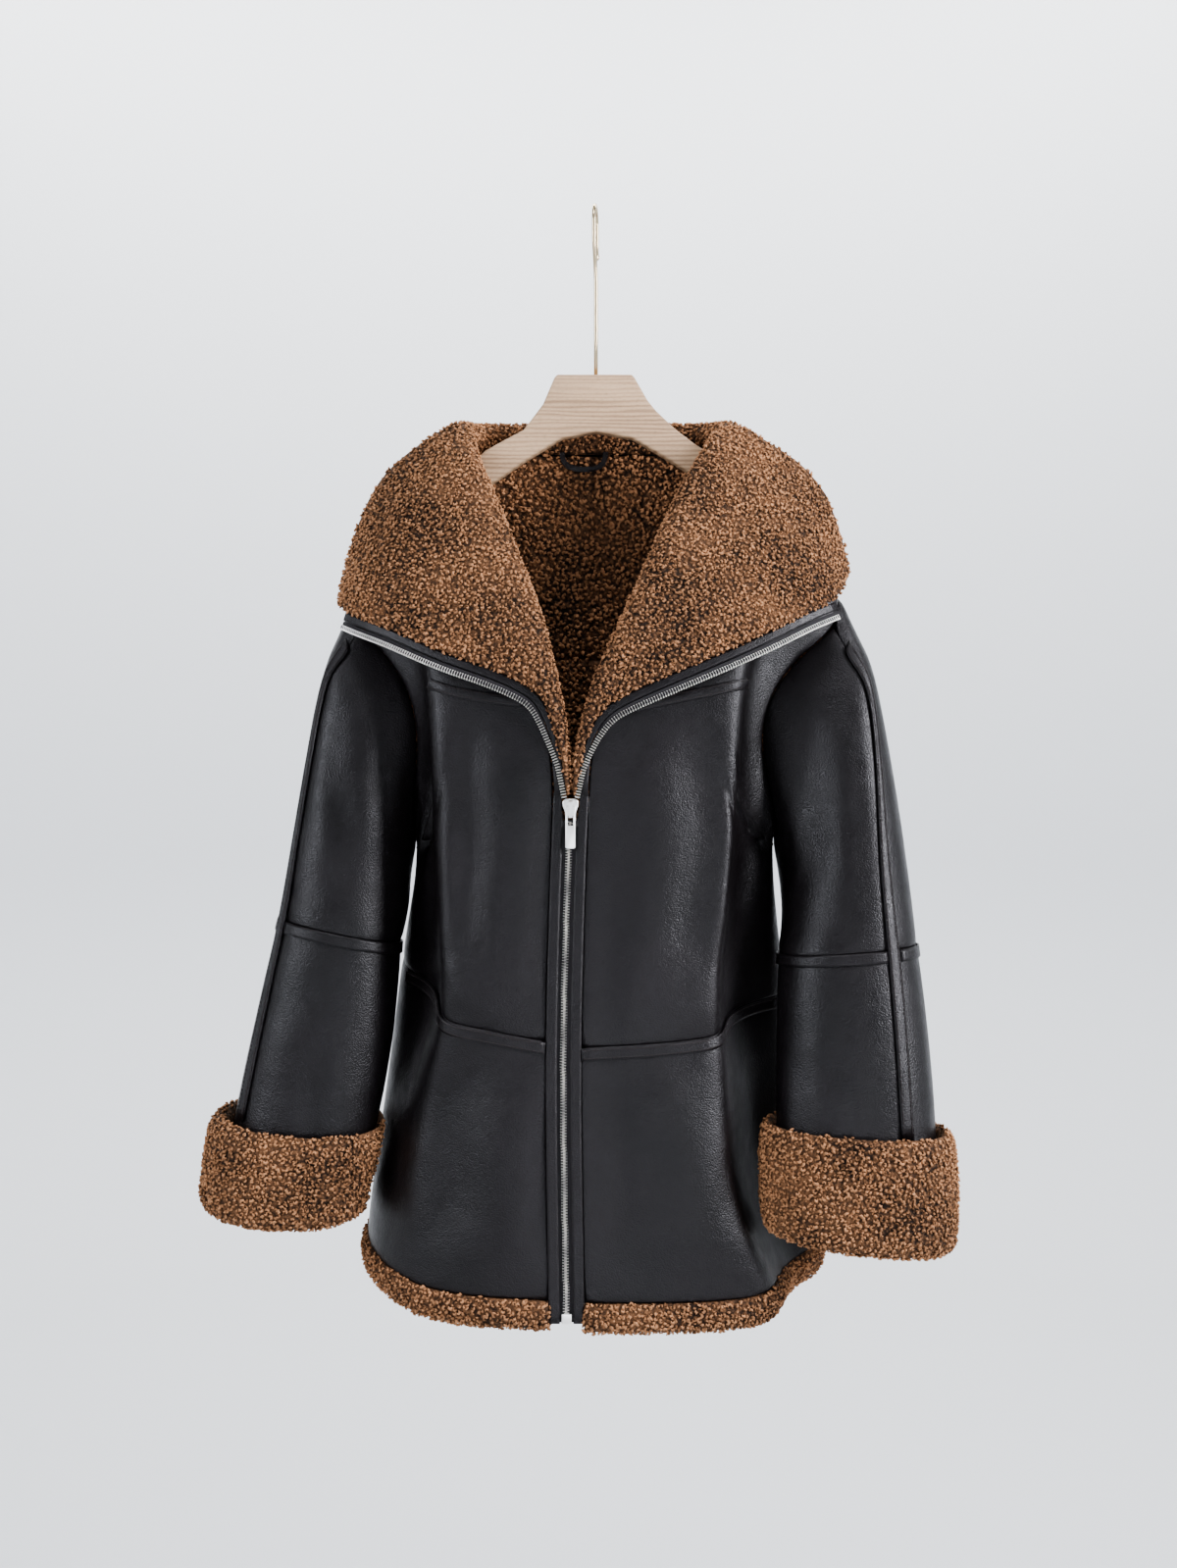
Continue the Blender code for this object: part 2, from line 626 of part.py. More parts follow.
def sleeve_normal(side, row, angle):
    round_it = sleeve_point(side, row, angle + 1) - sleeve_point(side, row, angle - 1)
    down = sleeve_point(side, min(row + 0.05, 9), angle) - sleeve_point(side, row - 0.05, angle)
    return side * unit(np.cross(round_it, down))


def armhole_pairs(side):
    """The armhole's edge from the shoulder point down its front and up its back. The wall is
    cut there halfway between the body and the sleeve."""
    places = [(armhole(side, drop, False), drop) for drop in FRONT_ARMHOLE[::-1]]
    places += [(armhole(side, drop, True), drop)
               for drop in BACK_ARMHOLE[-2::-1] + YOKE_ARMHOLE[-2:0:-1]]
    edge = np.array([body(side, around, drop) for around, drop in places])
    angles = sleeve_angles(side, [(point, point) for point in edge], 1)
    pairs = []
    for k, (around, drop) in enumerate(places):
        run = unit(edge[(k + 1) % len(edge)] - edge[k - 1])
        out = outward(body, side, around, drop)
        sleeve = sleeve_point(side, 1, angles[k]) - edge[k]
        sleeve = unit(sleeve - run * np.dot(sleeve, run))
        sleeve_out = np.cross(run, sleeve)
        sleeve_out *= np.sign(np.dot(sleeve_out, sleeve_normal(side, 1.0, angles[k])))
        if k in (0, UNDER_COLUMN):
            inside = body(side, 1.0, drop + (-10 if k == 0 else 10)) - edge[k]
        else:
            inside = body(side, around + (-0.06 if k < UNDER_COLUMN else 0.06), drop) - edge[k]
        inside = inside - run * np.dot(inside, run)
        inside = unit(inside - out * np.dot(inside, out))
        valley = 1 if np.dot(out, sleeve) > 0 else -1
        cut = unit(-(out + sleeve_out) - valley * (inside + sleeve))
        pairs.append((edge[k], edge[k] + cut * COAT_WALL))
    return pairs


def cut_at_armhole(side, inner, drops, back):
    """Draws the end of each row's wool line onto the armhole's cut."""
    pairs = armhole_pairs(side)
    front_drops = FRONT_ARMHOLE[::-1]
    places = {(False, d): pairs[i][1] for i, d in enumerate(front_drops)}
    back_drops = (UNDERARM,) + BACK_ARMHOLE[-2::-1] + YOKE_ARMHOLE[-2:0:-1]
    places.update({(True, d): pairs[len(front_drops) - 1 + i][1]
                   for i, d in enumerate(back_drops)})
    places[(True, SHOULDER_POINT)] = pairs[0][1]
    for row, drop in zip(inner, drops):
        row[-1] = places[(back, drop)]


def sleeve_angles(side, pairs, row):
    """The angle of each column: by its place on the armhole near the top, and even lower down."""
    edge = np.array([p[0] for p in pairs] + [pairs[0][0]])
    way = np.concatenate(([0], np.cumsum(np.linalg.norm(np.diff(edge, axis=0), axis=1))))
    count = len(pairs)
    angles = []
    for k in range(count):
        if k <= UNDER_COLUMN:
            placed = 180 * way[k] / way[UNDER_COLUMN]
            strap = STRAP_ANGLE[side]
            even = (strap * k / STRAP_COLUMN if k <= STRAP_COLUMN else
                    strap + (180 - strap) * (k - STRAP_COLUMN) / (UNDER_COLUMN - STRAP_COLUMN))
        else:
            placed = 180 + 180 * (way[k] - way[UNDER_COLUMN]) / (way[-1] - way[UNDER_COLUMN])
            even = 180 + 180 * (k - UNDER_COLUMN) / (count - UNDER_COLUMN)
        share = min(1.0, row / 3)
        angles.append(placed + (even - placed) * share)
    return angles


def sleeve_grids(side):
    """The whole sleeve, leather and wool, from the armhole to its end. Columns go round it."""
    pairs = armhole_pairs(side)
    outer, inner = [[p[0] for p in pairs]], [[p[1] for p in pairs]]
    for row in range(1, SLEEVE_END - HEAD_ROWS + 1):
        angles = sleeve_angles(side, pairs, row)
        leather = [sleeve_point(side, row, a) for a in angles]
        outer.append(leather)
        inner.append([p - sleeve_normal(side, row, a) * COAT_WALL
                      for p, a in zip(leather, angles)])
    outer, inner = np.array(outer), np.array(inner)
    shares = np.arange(1, HEAD_ROWS + 1)[:, None, None] / (HEAD_ROWS + 1)
    grids = [np.concatenate((grid[:1], grid[:1] + (grid[1:2] - grid[:1]) * shares, grid[1:]))
             for grid in (outer, inner)]
    return grids


def strip_points(points, way, near, far, normals):
    """Two lines of points on a panel, moved along it by near and far, then out by a strip."""
    lines = [points + way * near, points + way * far]
    grid = np.array(lines)
    return grid + normals * (SEAM + 0.1 + STRIP), grid + normals * (SEAM + 0.1)


def build_sleeve(side):
    outer, inner = sleeve_grids(side)
    count = outer.shape[1]
    front = list(range(STRAP_COLUMN, UNDER_COLUMN + 1))
    back = [k % count for k in range(UNDER_COLUMN, count + STRAP_COLUMN + 1)]
    for part, rows in (("upper", slice(0, ELBOW + 1)), ("lower", slice(ELBOW, None))):
        for face, columns in (("front", front), ("back", back)):
            wall("sleeve_%s_%s_%s" % (part, face, hand(side)), outer[rows][:, columns],
                 inner[rows][:, columns], LEATHER)
    normals = outer - inner
    normals /= np.linalg.norm(normals, axis=-1, keepdims=True)
    under = outer[1:SLEEVE_END]
    middle = under[:, STRAP_COLUMN]
    out = normals[1:SLEEVE_END, STRAP_COLUMN]
    lines = []
    for neighbour in (STRAP_COLUMN - 1, STRAP_COLUMN + 1):
        way = under[:, neighbour] - middle
        lines.append(middle + way / np.linalg.norm(way, axis=-1, keepdims=True) * STRAP_WIDTH / 2)
    grid = np.stack((lines[0], middle, lines[1]), axis=1)
    out = out[:, None, :]
    clear = np.full((len(grid), 1, 1), SEAM + 0.2)
    clear[:3] = 1.2
    wall("sleeve_strap_" + hand(side), grid + out * (clear + STRIP), grid + out * clear,
         STRAP_LEATHER)
    turn = [k % count for k in range(STRAP_COLUMN, count + STRAP_COLUMN + 1)]
    line, below, out = outer[ELBOW][turn], outer[ELBOW + 1][turn], normals[ELBOW][turn]
    for end, neighbour in ((0, 1), (-1, -2)):
        for row in (line, below):
            row[end] = row[end] + unit(row[neighbour] - row[end]) * (STRAP_WIDTH / 2 + 0.6)
    way = below - line
    way /= np.linalg.norm(way, axis=-1, keepdims=True)
    bands = strip_points(line, way, 0.0, BAND_WIDTH, out)
    wall("elbow_band_" + hand(side), bands[0], bands[1], STRAP_LEATHER)


# The cuff's outline through its wall: row along the sleeve, and how far out, from 0 on the
# sleeve's leather to 1 on the cuff's wool; below 0 it covers the end of the sleeve's own wall.
CUFF_OUTLINE = {
    -1: table("row out", (7.12, 0), (7.03, 0.45), (7.1, 0.9), (7.4, 1), (7.8, 1), (8.2, 0.95),
              (8.45, 0.6), (8.5, 0.1), (8.42, -0.6), (8.1, -0.66), (8.04, 0)),
    1: table("row out", (7.06, 0), (6.97, 0.45), (7.04, 0.9), (7.4, 1), (7.8, 1), (8.35, 0.97),
             (8.65, 0.6), (8.7, 0.1), (8.6, -0.6), (8.1, -0.66), (8.04, 0))}
CUFF_COLUMNS = 26


def build_cuff(side):
    outline = CUFF_OUTLINE[side]
    loops = []
    for row, out in zip(outline["row"], outline["out"]):
        loop = []
        for k in range(CUFF_COLUMNS):
            angle = 360 * k / CUFF_COLUMNS
            lean = 1 + CUFF_LEAN[side] / CUFF_WALL * math.cos(math.radians(angle)) if out > 0 else 1
            reach = 1.0 + out * CUFF_WALL * lean
            if out < 0:
                reach = out * (COAT_WALL + 5)
            loop.append(sleeve_point(side, row, angle) + sleeve_normal(side, row, angle) * reach)
        loops.append(loop)
    ring_wall("cuff_" + hand(side), loops, WOOL)


# ---------------------------------------------------------------- strips, hem and zip

HEM_GAP = 0.4               # between the leather's lower edge and the wool that shows below it
HEM_SECTION = table("below outer inner", (6, 3, -11), (14, 4, -12), (21, 2, -10),
                    (25, -2.5, -7))
ZIP_BOTTOM = 941.0
BESIDE_SLIDER = 528
SLIDER_ROOM = 1.8
PLACKET_ROWS = (511.5, 520, 527, 531, 560, 620, 680, 740, 800, 860, 910, 942)
CHAIN_WIDTH = 5.8
CHAIN_THICK = 3.0
FACING_WIDTH = 8.0
TAPE_END = 12.0
TEETH_END = 15.0


def hem_line(side, around):
    """The wool below the leather's edge at one place: its outer and inner points."""
    drop = hem_drop(side, around)
    leather, wool = body_pair(side, around, drop)
    normal = unit(outward(body, side, around, drop) * (1, 1, 0))
    down = np.array((0, 0, -1.0))
    outer, inner = [leather + down * HEM_GAP], [wool + down * HEM_GAP]
    for below, out, back in zip(*HEM_SECTION.values()):
        outer.append(leather + down * below + normal * out)
        inner.append(leather + down * below + normal * back)
    return outer, inner


def build_hem():
    for side in (-1, 1):
        start = around_at(side, PLACKET_OUTER, hem_drop(side, 0))
        lines = [hem_line(side, start + (1 - start) * s) for s in FRONT_SHARES]
        wall("hem_wool_front_" + hand(side), np.array([l[0] for l in lines]),
             np.array([l[1] for l in lines]), WOOL)
    back = [2 - s for s in BACK_SHARES[::-1]]
    lines = [hem_line(-1, a) for a in back] + [hem_line(1, a) for a in back[-2::-1]]
    wall("hem_wool_back", np.array([l[0] for l in lines]), np.array([l[1] for l in lines]), WOOL)


def build_pocket_strip(side):
    """The stitched strip along the seam above the pocket."""
    start = around_at(side, PLACKET_OUTER, 718)
    top, below, out = [], [], []
    for s in FRONT_SHARES[:-2]:
        around = start + (1 - start) * s
        drop = pocket_drop(side, around)
        low = drop + (hem_drop(side, around) - drop) * LOWER_SHARES[1]
        top.append(body(side, around, drop))
        below.append(body(side, around, low))
        out.append(outward(body, side, around, drop))
    top, below, out = np.array(top), np.array(below), np.array(out)
    way = below - top
    way /= np.linalg.norm(way, axis=-1, keepdims=True)
    bands = strip_points(top, way, 0.4, BAND_WIDTH + 0.6, out)
    wall("pocket_strip_" + hand(side), bands[0], bands[1], STRAP_LEATHER)


def beside_zip(side, near, far, front, back, drops):
    """A strip beside the zip's line, between two offsets from it and two depths. It narrows
    beside the slider."""
    outer, inner = [], []
    for drop in drops:
        face = -value(BODY, "front", drop)
        start = near + (SLIDER_ROOM if drop < BESIDE_SLIDER else 0)
        xs = [zip_x(drop) + side * offset for offset in (start, far)]
        outer.append([(x, face - front, -drop) for x in xs])
        inner.append([(x, face + back, -drop) for x in xs])
    return np.array(outer), np.array(inner)


def build_placket(side):
    grids = beside_zip(side, PLACKET_INNER, PLACKET_OUTER, 0.8, COAT_WALL, PLACKET_ROWS)
    wall("placket_" + hand(side), *grids, STRAP_LEATHER)
    drops = (CHAIN_TOP,) + PLACKET_ROWS[4:-1] + (ZIP_BOTTOM,)
    grids = beside_zip(side, CHAIN_WIDTH / 2, PLACKET_INNER, -0.4, 1.6, drops)
    wall("zip_tape_" + hand(side), *grids, TAPE)


def build_lapel_edge(side):
    """The leather strip and the open side of the zip along the lapel's free edge."""
    facing, teeth = ([], []), ([], [])
    sections = lapel_sections(side)[:-1]
    edges = np.array([(wool[-1] + leather[-1]) / 2 for wool, leather in sections])
    run = np.gradient(edges, axis=0)
    for i, (wool, leather) in enumerate(sections):
        normal = unit(wool[-1] - leather[-1])
        along = side * unit(np.cross(run[i], normal))
        size = smooth((0, 1, 2, 3), (0.1, 0.55, 0.9, 1.0), i)
        for grids, offsets, halves in ((facing, (0.4, FACING_WIDTH), (STRIP, STRIP)),
                                       (teeth, (FACING_WIDTH + 0.4, TAPE_END, TAPE_END + 0.1,
                                                TEETH_END), (TAPE_HALF, TAPE_HALF,
                                                             TEETH_HALF, TEETH_HALF))):
            points = [edges[i] + along * o * size for o in offsets]
            thin = max(size, 0.4)
            grids[0].append([p + normal * h * thin for p, h in zip(points, halves)])
            grids[1].append([p - normal * h * thin for p, h in zip(points, halves)])
    wall("facing_strip_" + hand(side), np.array(facing[0]), np.array(facing[1]), STRAP_LEATHER)
    wall("zip_side_" + hand(side), np.array(teeth[0]), np.array(teeth[1]), NICKEL)


def build_chain():
    drops = (CHAIN_TOP,) + PLACKET_ROWS[4:-1] + (ZIP_BOTTOM - STOP_HEIGHT,)
    outer, inner = [], []
    for drop in drops:
        face = -value(BODY, "front", drop)
        xs = [zip_x(drop) + side * (CHAIN_WIDTH / 2 - SEAM) for side in (-1, 1)]
        outer.append([(x, face - CHAIN_THICK + 2, -drop) for x in xs])
        inner.append([(x, face + 2, -drop) for x in xs])
    wall("zip_chain", np.array(outer), np.array(inner), NICKEL)


# ---------------------------------------------------------------- hanger and zip pull

def flat_piece(name, outlines, thick, place, finish, bevel=0.0):
    """A plate cut to outlines of (x, z), the first one round the others, which are holes."""
    curve = bpy.data.curves.new(name, "CURVE")
    curve.dimensions = "2D"
    curve.fill_mode = "BOTH"
    curve.extrude = (thick / 2 - bevel) * MM
    curve.bevel_depth = bevel * MM
    curve.bevel_resolution = 1
    curve.offset = -bevel * MM
    for outline in outlines:
        spline = curve.splines.new("POLY")
        spline.points.add(len(outline) - 1)
        for point, (x, z) in zip(spline.points, outline):
            point.co = (x * MM, z * MM, 0, 1)
        spline.use_cyclic_u = True
    curve.materials.append(material(finish))
    made = bpy.data.objects.new(name, curve)
    made.location = [p * MM for p in place]
    made.rotation_euler = (math.pi / 2, 0, 0)
    collection.objects.link(made)
    return made


def as_mesh(made):
    """The same object with a welded mesh in place of its curve."""
    bpy.context.view_layer.update()
    shape = made.evaluated_get(bpy.context.evaluated_depsgraph_get())
    mesh = bpy.data.meshes.new_from_object(shape)
    work = bmesh.new()
    work.from_mesh(mesh)
    bmesh.ops.remove_doubles(work, verts=work.verts, dist=0.00001)
    bmesh.ops.recalc_face_normals(work, faces=work.faces)
    work.to_mesh(mesh)
    work.free()
    name = made.name
    solid = bpy.data.objects.new(name, mesh)
    solid.matrix_world = made.matrix_world.copy()
    bpy.data.objects.remove(made)
    solid.name = name
    collection.objects.link(solid)
    return solid


def build_hanger():
    arms = [[(side * x, z) for x, z in HANGER_ARM] for side in (-1, 1)]
    outline = (arms[0][::-1] + [(-x, z) for x, z in HANGER_LEFT_TOP] + list(HANGER_RIGHT_TOP)
               + arms[1] + list(HANGER_UNDER[::-1]))
    flat_piece("hanger", [outline], HANGER_THICK, (0, 0, 0), WOOD, bevel=2.0)
    bend = HOOK_BEND + HOOK_WIRE / 2
    path = [(0.5, 0, -HANGER_TOP + SEAM), (0.5, 0, -100), (0.5, 0, -66), (0.3, -1.5, -58),
            (-0.2, -6.5, -48), (-0.9, -12.5, -38), (-1.3, -bend + 0.8, -29)]
    for k in range(13):
        angle = math.pi * k / 12
        y = -bend * math.cos(angle)
        path.append((0.08 * y, y, -HOOK_BEND + bend * math.sin(angle)))
    path += [(0.08 * bend, bend, -24), (0.08 * bend, bend, -33)]
    knob = [(1.0, -35.0), (1.3, -36.5), (1.3, -38.5), (1.0, -40.0), (0.5, -40.6)]
    path += [(0.08 * bend, bend, z) for _, z in knob]
    curve = bpy.data.curves.new("hook", "CURVE")
    curve.dimensions = "3D"
    curve.bevel_depth = HOOK_WIRE / 2 * MM
    curve.bevel_resolution = 3
    curve.use_fill_caps = True
    spline = curve.splines.new("POLY")
    spline.points.add(len(path) - 1)
    for point, place in zip(spline.points, path):
        point.co = (*[p * MM for p in place], 1)
    for point, (size, _) in zip(spline.points[-len(knob):], knob):
        point.radius = size
    curve.materials.append(material(WIRE))
    collection.objects.link(bpy.data.objects.new("hook", curve))


def build_neck_loop():
    path = np.array(LOOP_PATH, float)
    run = np.gradient(path, axis=0)
    run /= np.linalg.norm(run, axis=1, keepdims=True)
    out = np.stack((-run[:, 1], run[:, 0]), axis=1) * LOOP_WIDTH / 2
    outline = list(path + out) + list((path - out)[::-1])
    flat_piece("neck_loop", [outline], LOOP_THICK, (0, LOOP_Y, 0), STRAP_LEATHER)


def build_zip_pull():
    """The slider with its bridge, the pull tab that hangs from it, and the stop at the bottom."""
    face = -value(BODY, "front", HINGE_DROP)
    x = zip_x(HINGE_DROP)
    top, low = -SLIDER_TOP - 5, -SLIDER_TOP - 19
    outline = [(-4.2, top), (4.2, top), (6.5, top - 2), (6.5, top - 6), (4.5, top - 11),
               (4.5, low), (-4.5, low), (-4.5, top - 11), (-6.5, top - 6), (-6.5, top - 2)]
    slider = as_mesh(flat_piece("slider", [outline], SLIDER_THICK,
                                (x, face + SLIDER_THICK / 2 - SLIDER_OUT, 0), NICKEL, bevel=0.6))
    base = face - SLIDER_OUT
    bridge = [(base + 1, top - 1.2), (base - 4.0, top - 1.2), (base - 5.6, top - 3),
              (base - 5.6, top - 12), (base - 4.0, low - 1.6), (base + 1, low - 0.6),
              (base + 1, low + 0.8), (base - 3.2, low + 0.2), (base - 4.2, top - 11.6),
              (base - 4.2, top - 3.6), (base - 3.4, top - 2.6), (base + 1, top - 2.6)]
    arch = as_mesh(flat_piece("bridge", [bridge], BRIDGE_WIDTH, (x, 0, 0), NICKEL))
    arch.rotation_euler = (math.pi / 2, 0, math.pi / 2)
    union = slider.modifiers.new("bridge", "BOOLEAN")
    union.operation = "UNION"
    union.object = arch
    arch.hide_render = True
    arch.display_type = "WIRE"
    for old in list(arch.users_collection):
        old.objects.unlink(arch)
    cutters = bpy.data.collections.new("cutters")
    bpy.context.scene.collection.children.link(cutters)
    cutters.objects.link(arch)
    hinge = (x, base - HINGE_OUT, -HINGE_DROP)
    half, bar = TAB_WIDTH / 2, TAB_BAR / 2
    tab = [(-half, bar - 0.8), (-half + 0.8, bar), (half - 0.8, bar), (half, bar - 0.8),
           (half, 2 - TAB_LENGTH), (half - 1.5, bar - TAB_LENGTH), (1.5 - half, bar - TAB_LENGTH),
           (-half, 2 - TAB_LENGTH)]
    window = [(-TAB_WINDOW / 2, -bar), (-TAB_WINDOW / 2, -bar - 14), (TAB_WINDOW / 2, -bar - 14),
              (TAB_WINDOW / 2, -bar)]
    flat_piece("pull_tab", [tab, window], TAB_THICK, hinge, NICKEL, bevel=0.3)
    face = -value(BODY, "front", ZIP_BOTTOM)
    x = zip_x(ZIP_BOTTOM)
    half = STOP_WIDTH / 2
    top = -ZIP_BOTTOM + STOP_HEIGHT - SEAM
    low = -ZIP_BOTTOM - 0.5
    stop = [(-half, low), (half, low), (half, top), (-half, top)]
    flat_piece("bottom_stop", [stop], STOP_THICK, (x, face - STOP_THICK / 2 + 0.1, 0), NICKEL,
               bevel=0.4)


def main():
    global collection
    for old in list(bpy.data.objects):
        bpy.data.objects.remove(old)
    collection = bpy.data.collections.new("leather_coat")
    bpy.context.scene.collection.children.link(collection)
    build_hanger()
    build_neck_loop()
    build_zip_pull()
    build_collar()
    build_chain()
    build_hem()
    for side in (-1, 1):
        build_front(side)
        build_back(side)
        build_sleeve(side)
        build_cuff(side)
        build_pocket_strip(side)
        build_placket(side)
        build_lapel_edge(side)


main()
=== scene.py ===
# A hip-length shearling coat on a wooden hanger: dark pebbled leather outside, curly wool inside.
# Everything is in metres, +Z up, with the coat's front facing -Y. The origin is the hook's inside.

import math

import bmesh
import bpy
import numpy as np
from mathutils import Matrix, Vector
from mathutils.bvhtree import BVHTree


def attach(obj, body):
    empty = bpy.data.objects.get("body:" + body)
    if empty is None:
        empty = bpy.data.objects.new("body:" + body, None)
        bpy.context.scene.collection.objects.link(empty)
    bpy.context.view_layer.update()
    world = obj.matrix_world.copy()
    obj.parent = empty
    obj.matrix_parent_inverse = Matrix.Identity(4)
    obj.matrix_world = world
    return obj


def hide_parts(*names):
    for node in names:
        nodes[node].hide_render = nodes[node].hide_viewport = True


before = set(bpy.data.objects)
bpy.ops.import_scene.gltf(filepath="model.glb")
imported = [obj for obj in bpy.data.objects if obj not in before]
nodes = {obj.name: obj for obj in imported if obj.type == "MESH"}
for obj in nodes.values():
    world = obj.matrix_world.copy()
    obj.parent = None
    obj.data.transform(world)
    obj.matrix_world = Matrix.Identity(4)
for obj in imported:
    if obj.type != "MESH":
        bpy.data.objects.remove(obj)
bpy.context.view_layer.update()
scene = bpy.context.scene
sides = ("left", "right")


def linear(code, alpha=1.0):
    # sRGB hex to the linear values that shaders use
    parts = [int(code[i:i + 2], 16) / 255 for i in (1, 3, 5)]
    return [p / 12.92 if p <= 0.04045 else ((p + 0.055) / 1.055) ** 2.4 for p in parts] + [alpha]


def newMaterial(name):
    made = bpy.data.materials.new(name)
    made.use_nodes = True
    tree = made.node_tree
    return made, tree, tree.nodes["Principled BSDF"]


def setInputs(tree, node, inputs):
    for key, value in inputs.items():
        if isinstance(value, bpy.types.NodeSocket):
            tree.links.new(value, node.inputs[key])
        else:
            node.inputs[key].default_value = value


def addNode(tree, kind, inputs=None, stops=(), **settings):
    # a node with its settings and links; stops are a colour ramp's places and colours
    node = tree.nodes.new(kind)
    for key, value in settings.items():
        setattr(node, key, value)
    setInputs(tree, node, inputs or {})
    marks = node.color_ramp.elements if stops else ()
    while len(marks) < len(stops):
        marks.new(0.5)
    for mark, (place, colour) in zip(marks, stops):
        mark.position = place
        mark.color = linear(colour) if isinstance(colour, str) else (colour, colour, colour, 1)
    return node


# grains and pores in a metre, their depth, and the least and most roughness
leather = {"hide": "#0b090a", "worn": "#171315", "grain": 820, "grainDepth": 0.0005,
           "pores": 2600, "least": 0.31, "most": 0.43}


def makeLeather(name, lift=0.0):
    # drum-dyed pebbled hide: closed grains 1.2 mm across break the broad soft shine into glints
    made, tree, shader = newMaterial(name)
    spot = addNode(tree, "ShaderNodeTexCoord").outputs["Object"]
    drift = addNode(tree, "ShaderNodeTexNoise", {"Vector": spot, "Scale": 260.0, "Detail": 2.0})
    bent = addNode(tree, "ShaderNodeVectorMath",
                   {0: drift.outputs["Color"], 1: (0.0022,) * 3, 2: spot},
                   operation="MULTIPLY_ADD")
    cells = addNode(tree, "ShaderNodeTexVoronoi",
                    {"Vector": bent.outputs[0], "Scale": leather["grain"], "Smoothness": 0.6},
                    feature="SMOOTH_F1")
    broad = addNode(tree, "ShaderNodeTexNoise", {"Vector": spot, "Scale": 9.0, "Detail": 4.0})
    patch = addNode(tree, "ShaderNodeTexNoise", {"Vector": spot, "Scale": 60.0, "Detail": 5.0})
    pores = addNode(tree, "ShaderNodeTexNoise",
                    {"Vector": spot, "Scale": leather["pores"], "Detail": 2.0})
    tone = addNode(tree, "ShaderNodeValToRGB", {"Fac": broad.outputs["Fac"]},
                   [(0.3, leather["hide"]), (0.8 - lift, leather["worn"])])
    gloss = addNode(tree, "ShaderNodeMapRange",
                    {"Value": patch.outputs["Fac"], "From Min": 0.3, "From Max": 0.7,
                     "To Min": leather["least"] - lift / 4, "To Max": leather["most"]})
    height = addNode(tree, "ShaderNodeMath",
                     {0: pores.outputs["Fac"], 1: 0.25, 2: cells.outputs["Distance"]},
                     operation="MULTIPLY_ADD")
    # wide first, so the fine grain rides on it
    soft = addNode(tree, "ShaderNodeBump",
                   {"Height": patch.outputs["Fac"], "Strength": 0.4, "Distance": 0.0016})
    bump = addNode(tree, "ShaderNodeBump",
                   {"Height": height.outputs[0], "Strength": 0.55,
                    "Distance": leather["grainDepth"], "Normal": soft.outputs["Normal"]},
                   invert=True)
    setInputs(tree, shader, {"Base Color": tone.outputs["Color"],
                             "Roughness": gloss.outputs["Result"],
                             "Normal": bump.outputs["Normal"], "Specular IOR Level": 0.33})
    return made


def makeWool(name, deep, light, clumped):
    # sheared curly fleece, dull with a faint bloom: painted shade darkens it where the curls part,
    # and their tops are left lighter
    made, tree, shader = newMaterial(name)
    spot = addNode(tree, "ShaderNodeTexCoord").outputs["Object"]
    broad = addNode(tree, "ShaderNodeTexNoise", {"Vector": spot, "Scale": 16.0, "Detail": 3.0})
    broad = addNode(tree, "ShaderNodeMath", {0: broad.outputs["Fac"], 1: 1.3}, operation="MULTIPLY")
    strands = addNode(tree, "ShaderNodeTexNoise",
                      {"Vector": spot, "Scale": 900.0, "Detail": 3.0, "Distortion": 1.5})
    height = strands.outputs["Fac"]
    if clumped:
        # clumps of 3.4 mm, as wide as the curls that stand on them: painted shade darkens the gaps
        # between them, and they also raise the bump
        drift = addNode(tree, "ShaderNodeTexNoise", {"Vector": spot, "Scale": 240.0})
        bent = addNode(tree, "ShaderNodeVectorMath",
                       {0: drift.outputs["Color"], 1: (0.004,) * 3, 2: spot},
                       operation="MULTIPLY_ADD")
        clump = addNode(tree, "ShaderNodeTexVoronoi", {"Vector": bent.outputs[0], "Scale": 290.0})
        top = addNode(tree, "ShaderNodeMapRange",
                      {"Value": clump.outputs["Distance"], "From Min": 0.75, "From Max": 0.1})
        shade = addNode(tree, "ShaderNodeMath",
                        {0: top.outputs[0], 1: 0.75, 2: broad.outputs[0]},
                        operation="MULTIPLY_ADD").outputs[0]
        height = addNode(tree, "ShaderNodeMath", {0: top.outputs[0], 1: 3.0, 2: height},
                         operation="MULTIPLY_ADD").outputs[0]
        stops = [(0.6, deep), (1.35, light)]
    else:
        own = addNode(tree, "ShaderNodeAttribute", attribute_name="curlShade")
        shade = addNode(tree, "ShaderNodeMath",
                        {0: own.outputs["Fac"], 1: 0.35, 2: broad.outputs[0]},
                        operation="MULTIPLY_ADD")
        # painted shade: by its height, a curl is darker at its root and lighter at its top
        high = addNode(tree, "ShaderNodeAttribute", attribute_name="curlHigh")
        shade = addNode(tree, "ShaderNodeMath",
                        {0: high.outputs["Fac"], 1: 0.6, 2: shade.outputs[0]},
                        operation="MULTIPLY_ADD")
        shade = addNode(tree, "ShaderNodeMath",
                        {0: strands.outputs["Fac"], 1: 0.3, 2: shade.outputs[0]},
                        operation="MULTIPLY_ADD").outputs[0]
        stops = [(0.74, deep), (1.6, light)]
    # a ramp ends at 1, so shade is halved on both sides of it
    half = addNode(tree, "ShaderNodeMath", {0: shade, 1: 0.5}, operation="MULTIPLY")
    tone = addNode(tree, "ShaderNodeValToRGB", {"Fac": half.outputs[0]},
                   [(place / 2, colour) for place, colour in stops])
    bump = addNode(tree, "ShaderNodeBump", {"Height": height, "Strength": 0.7, "Distance": 0.0006})
    setInputs(tree, shader, {"Base Color": tone.outputs["Color"], "Roughness": 0.85,
                             "Specular IOR Level": 0.25, "Sheen Weight": 0.15,
                             "Sheen Roughness": 0.45, "Sheen Tint": linear("#b98a60"),
                             "Normal": bump.outputs["Normal"]})
    return made


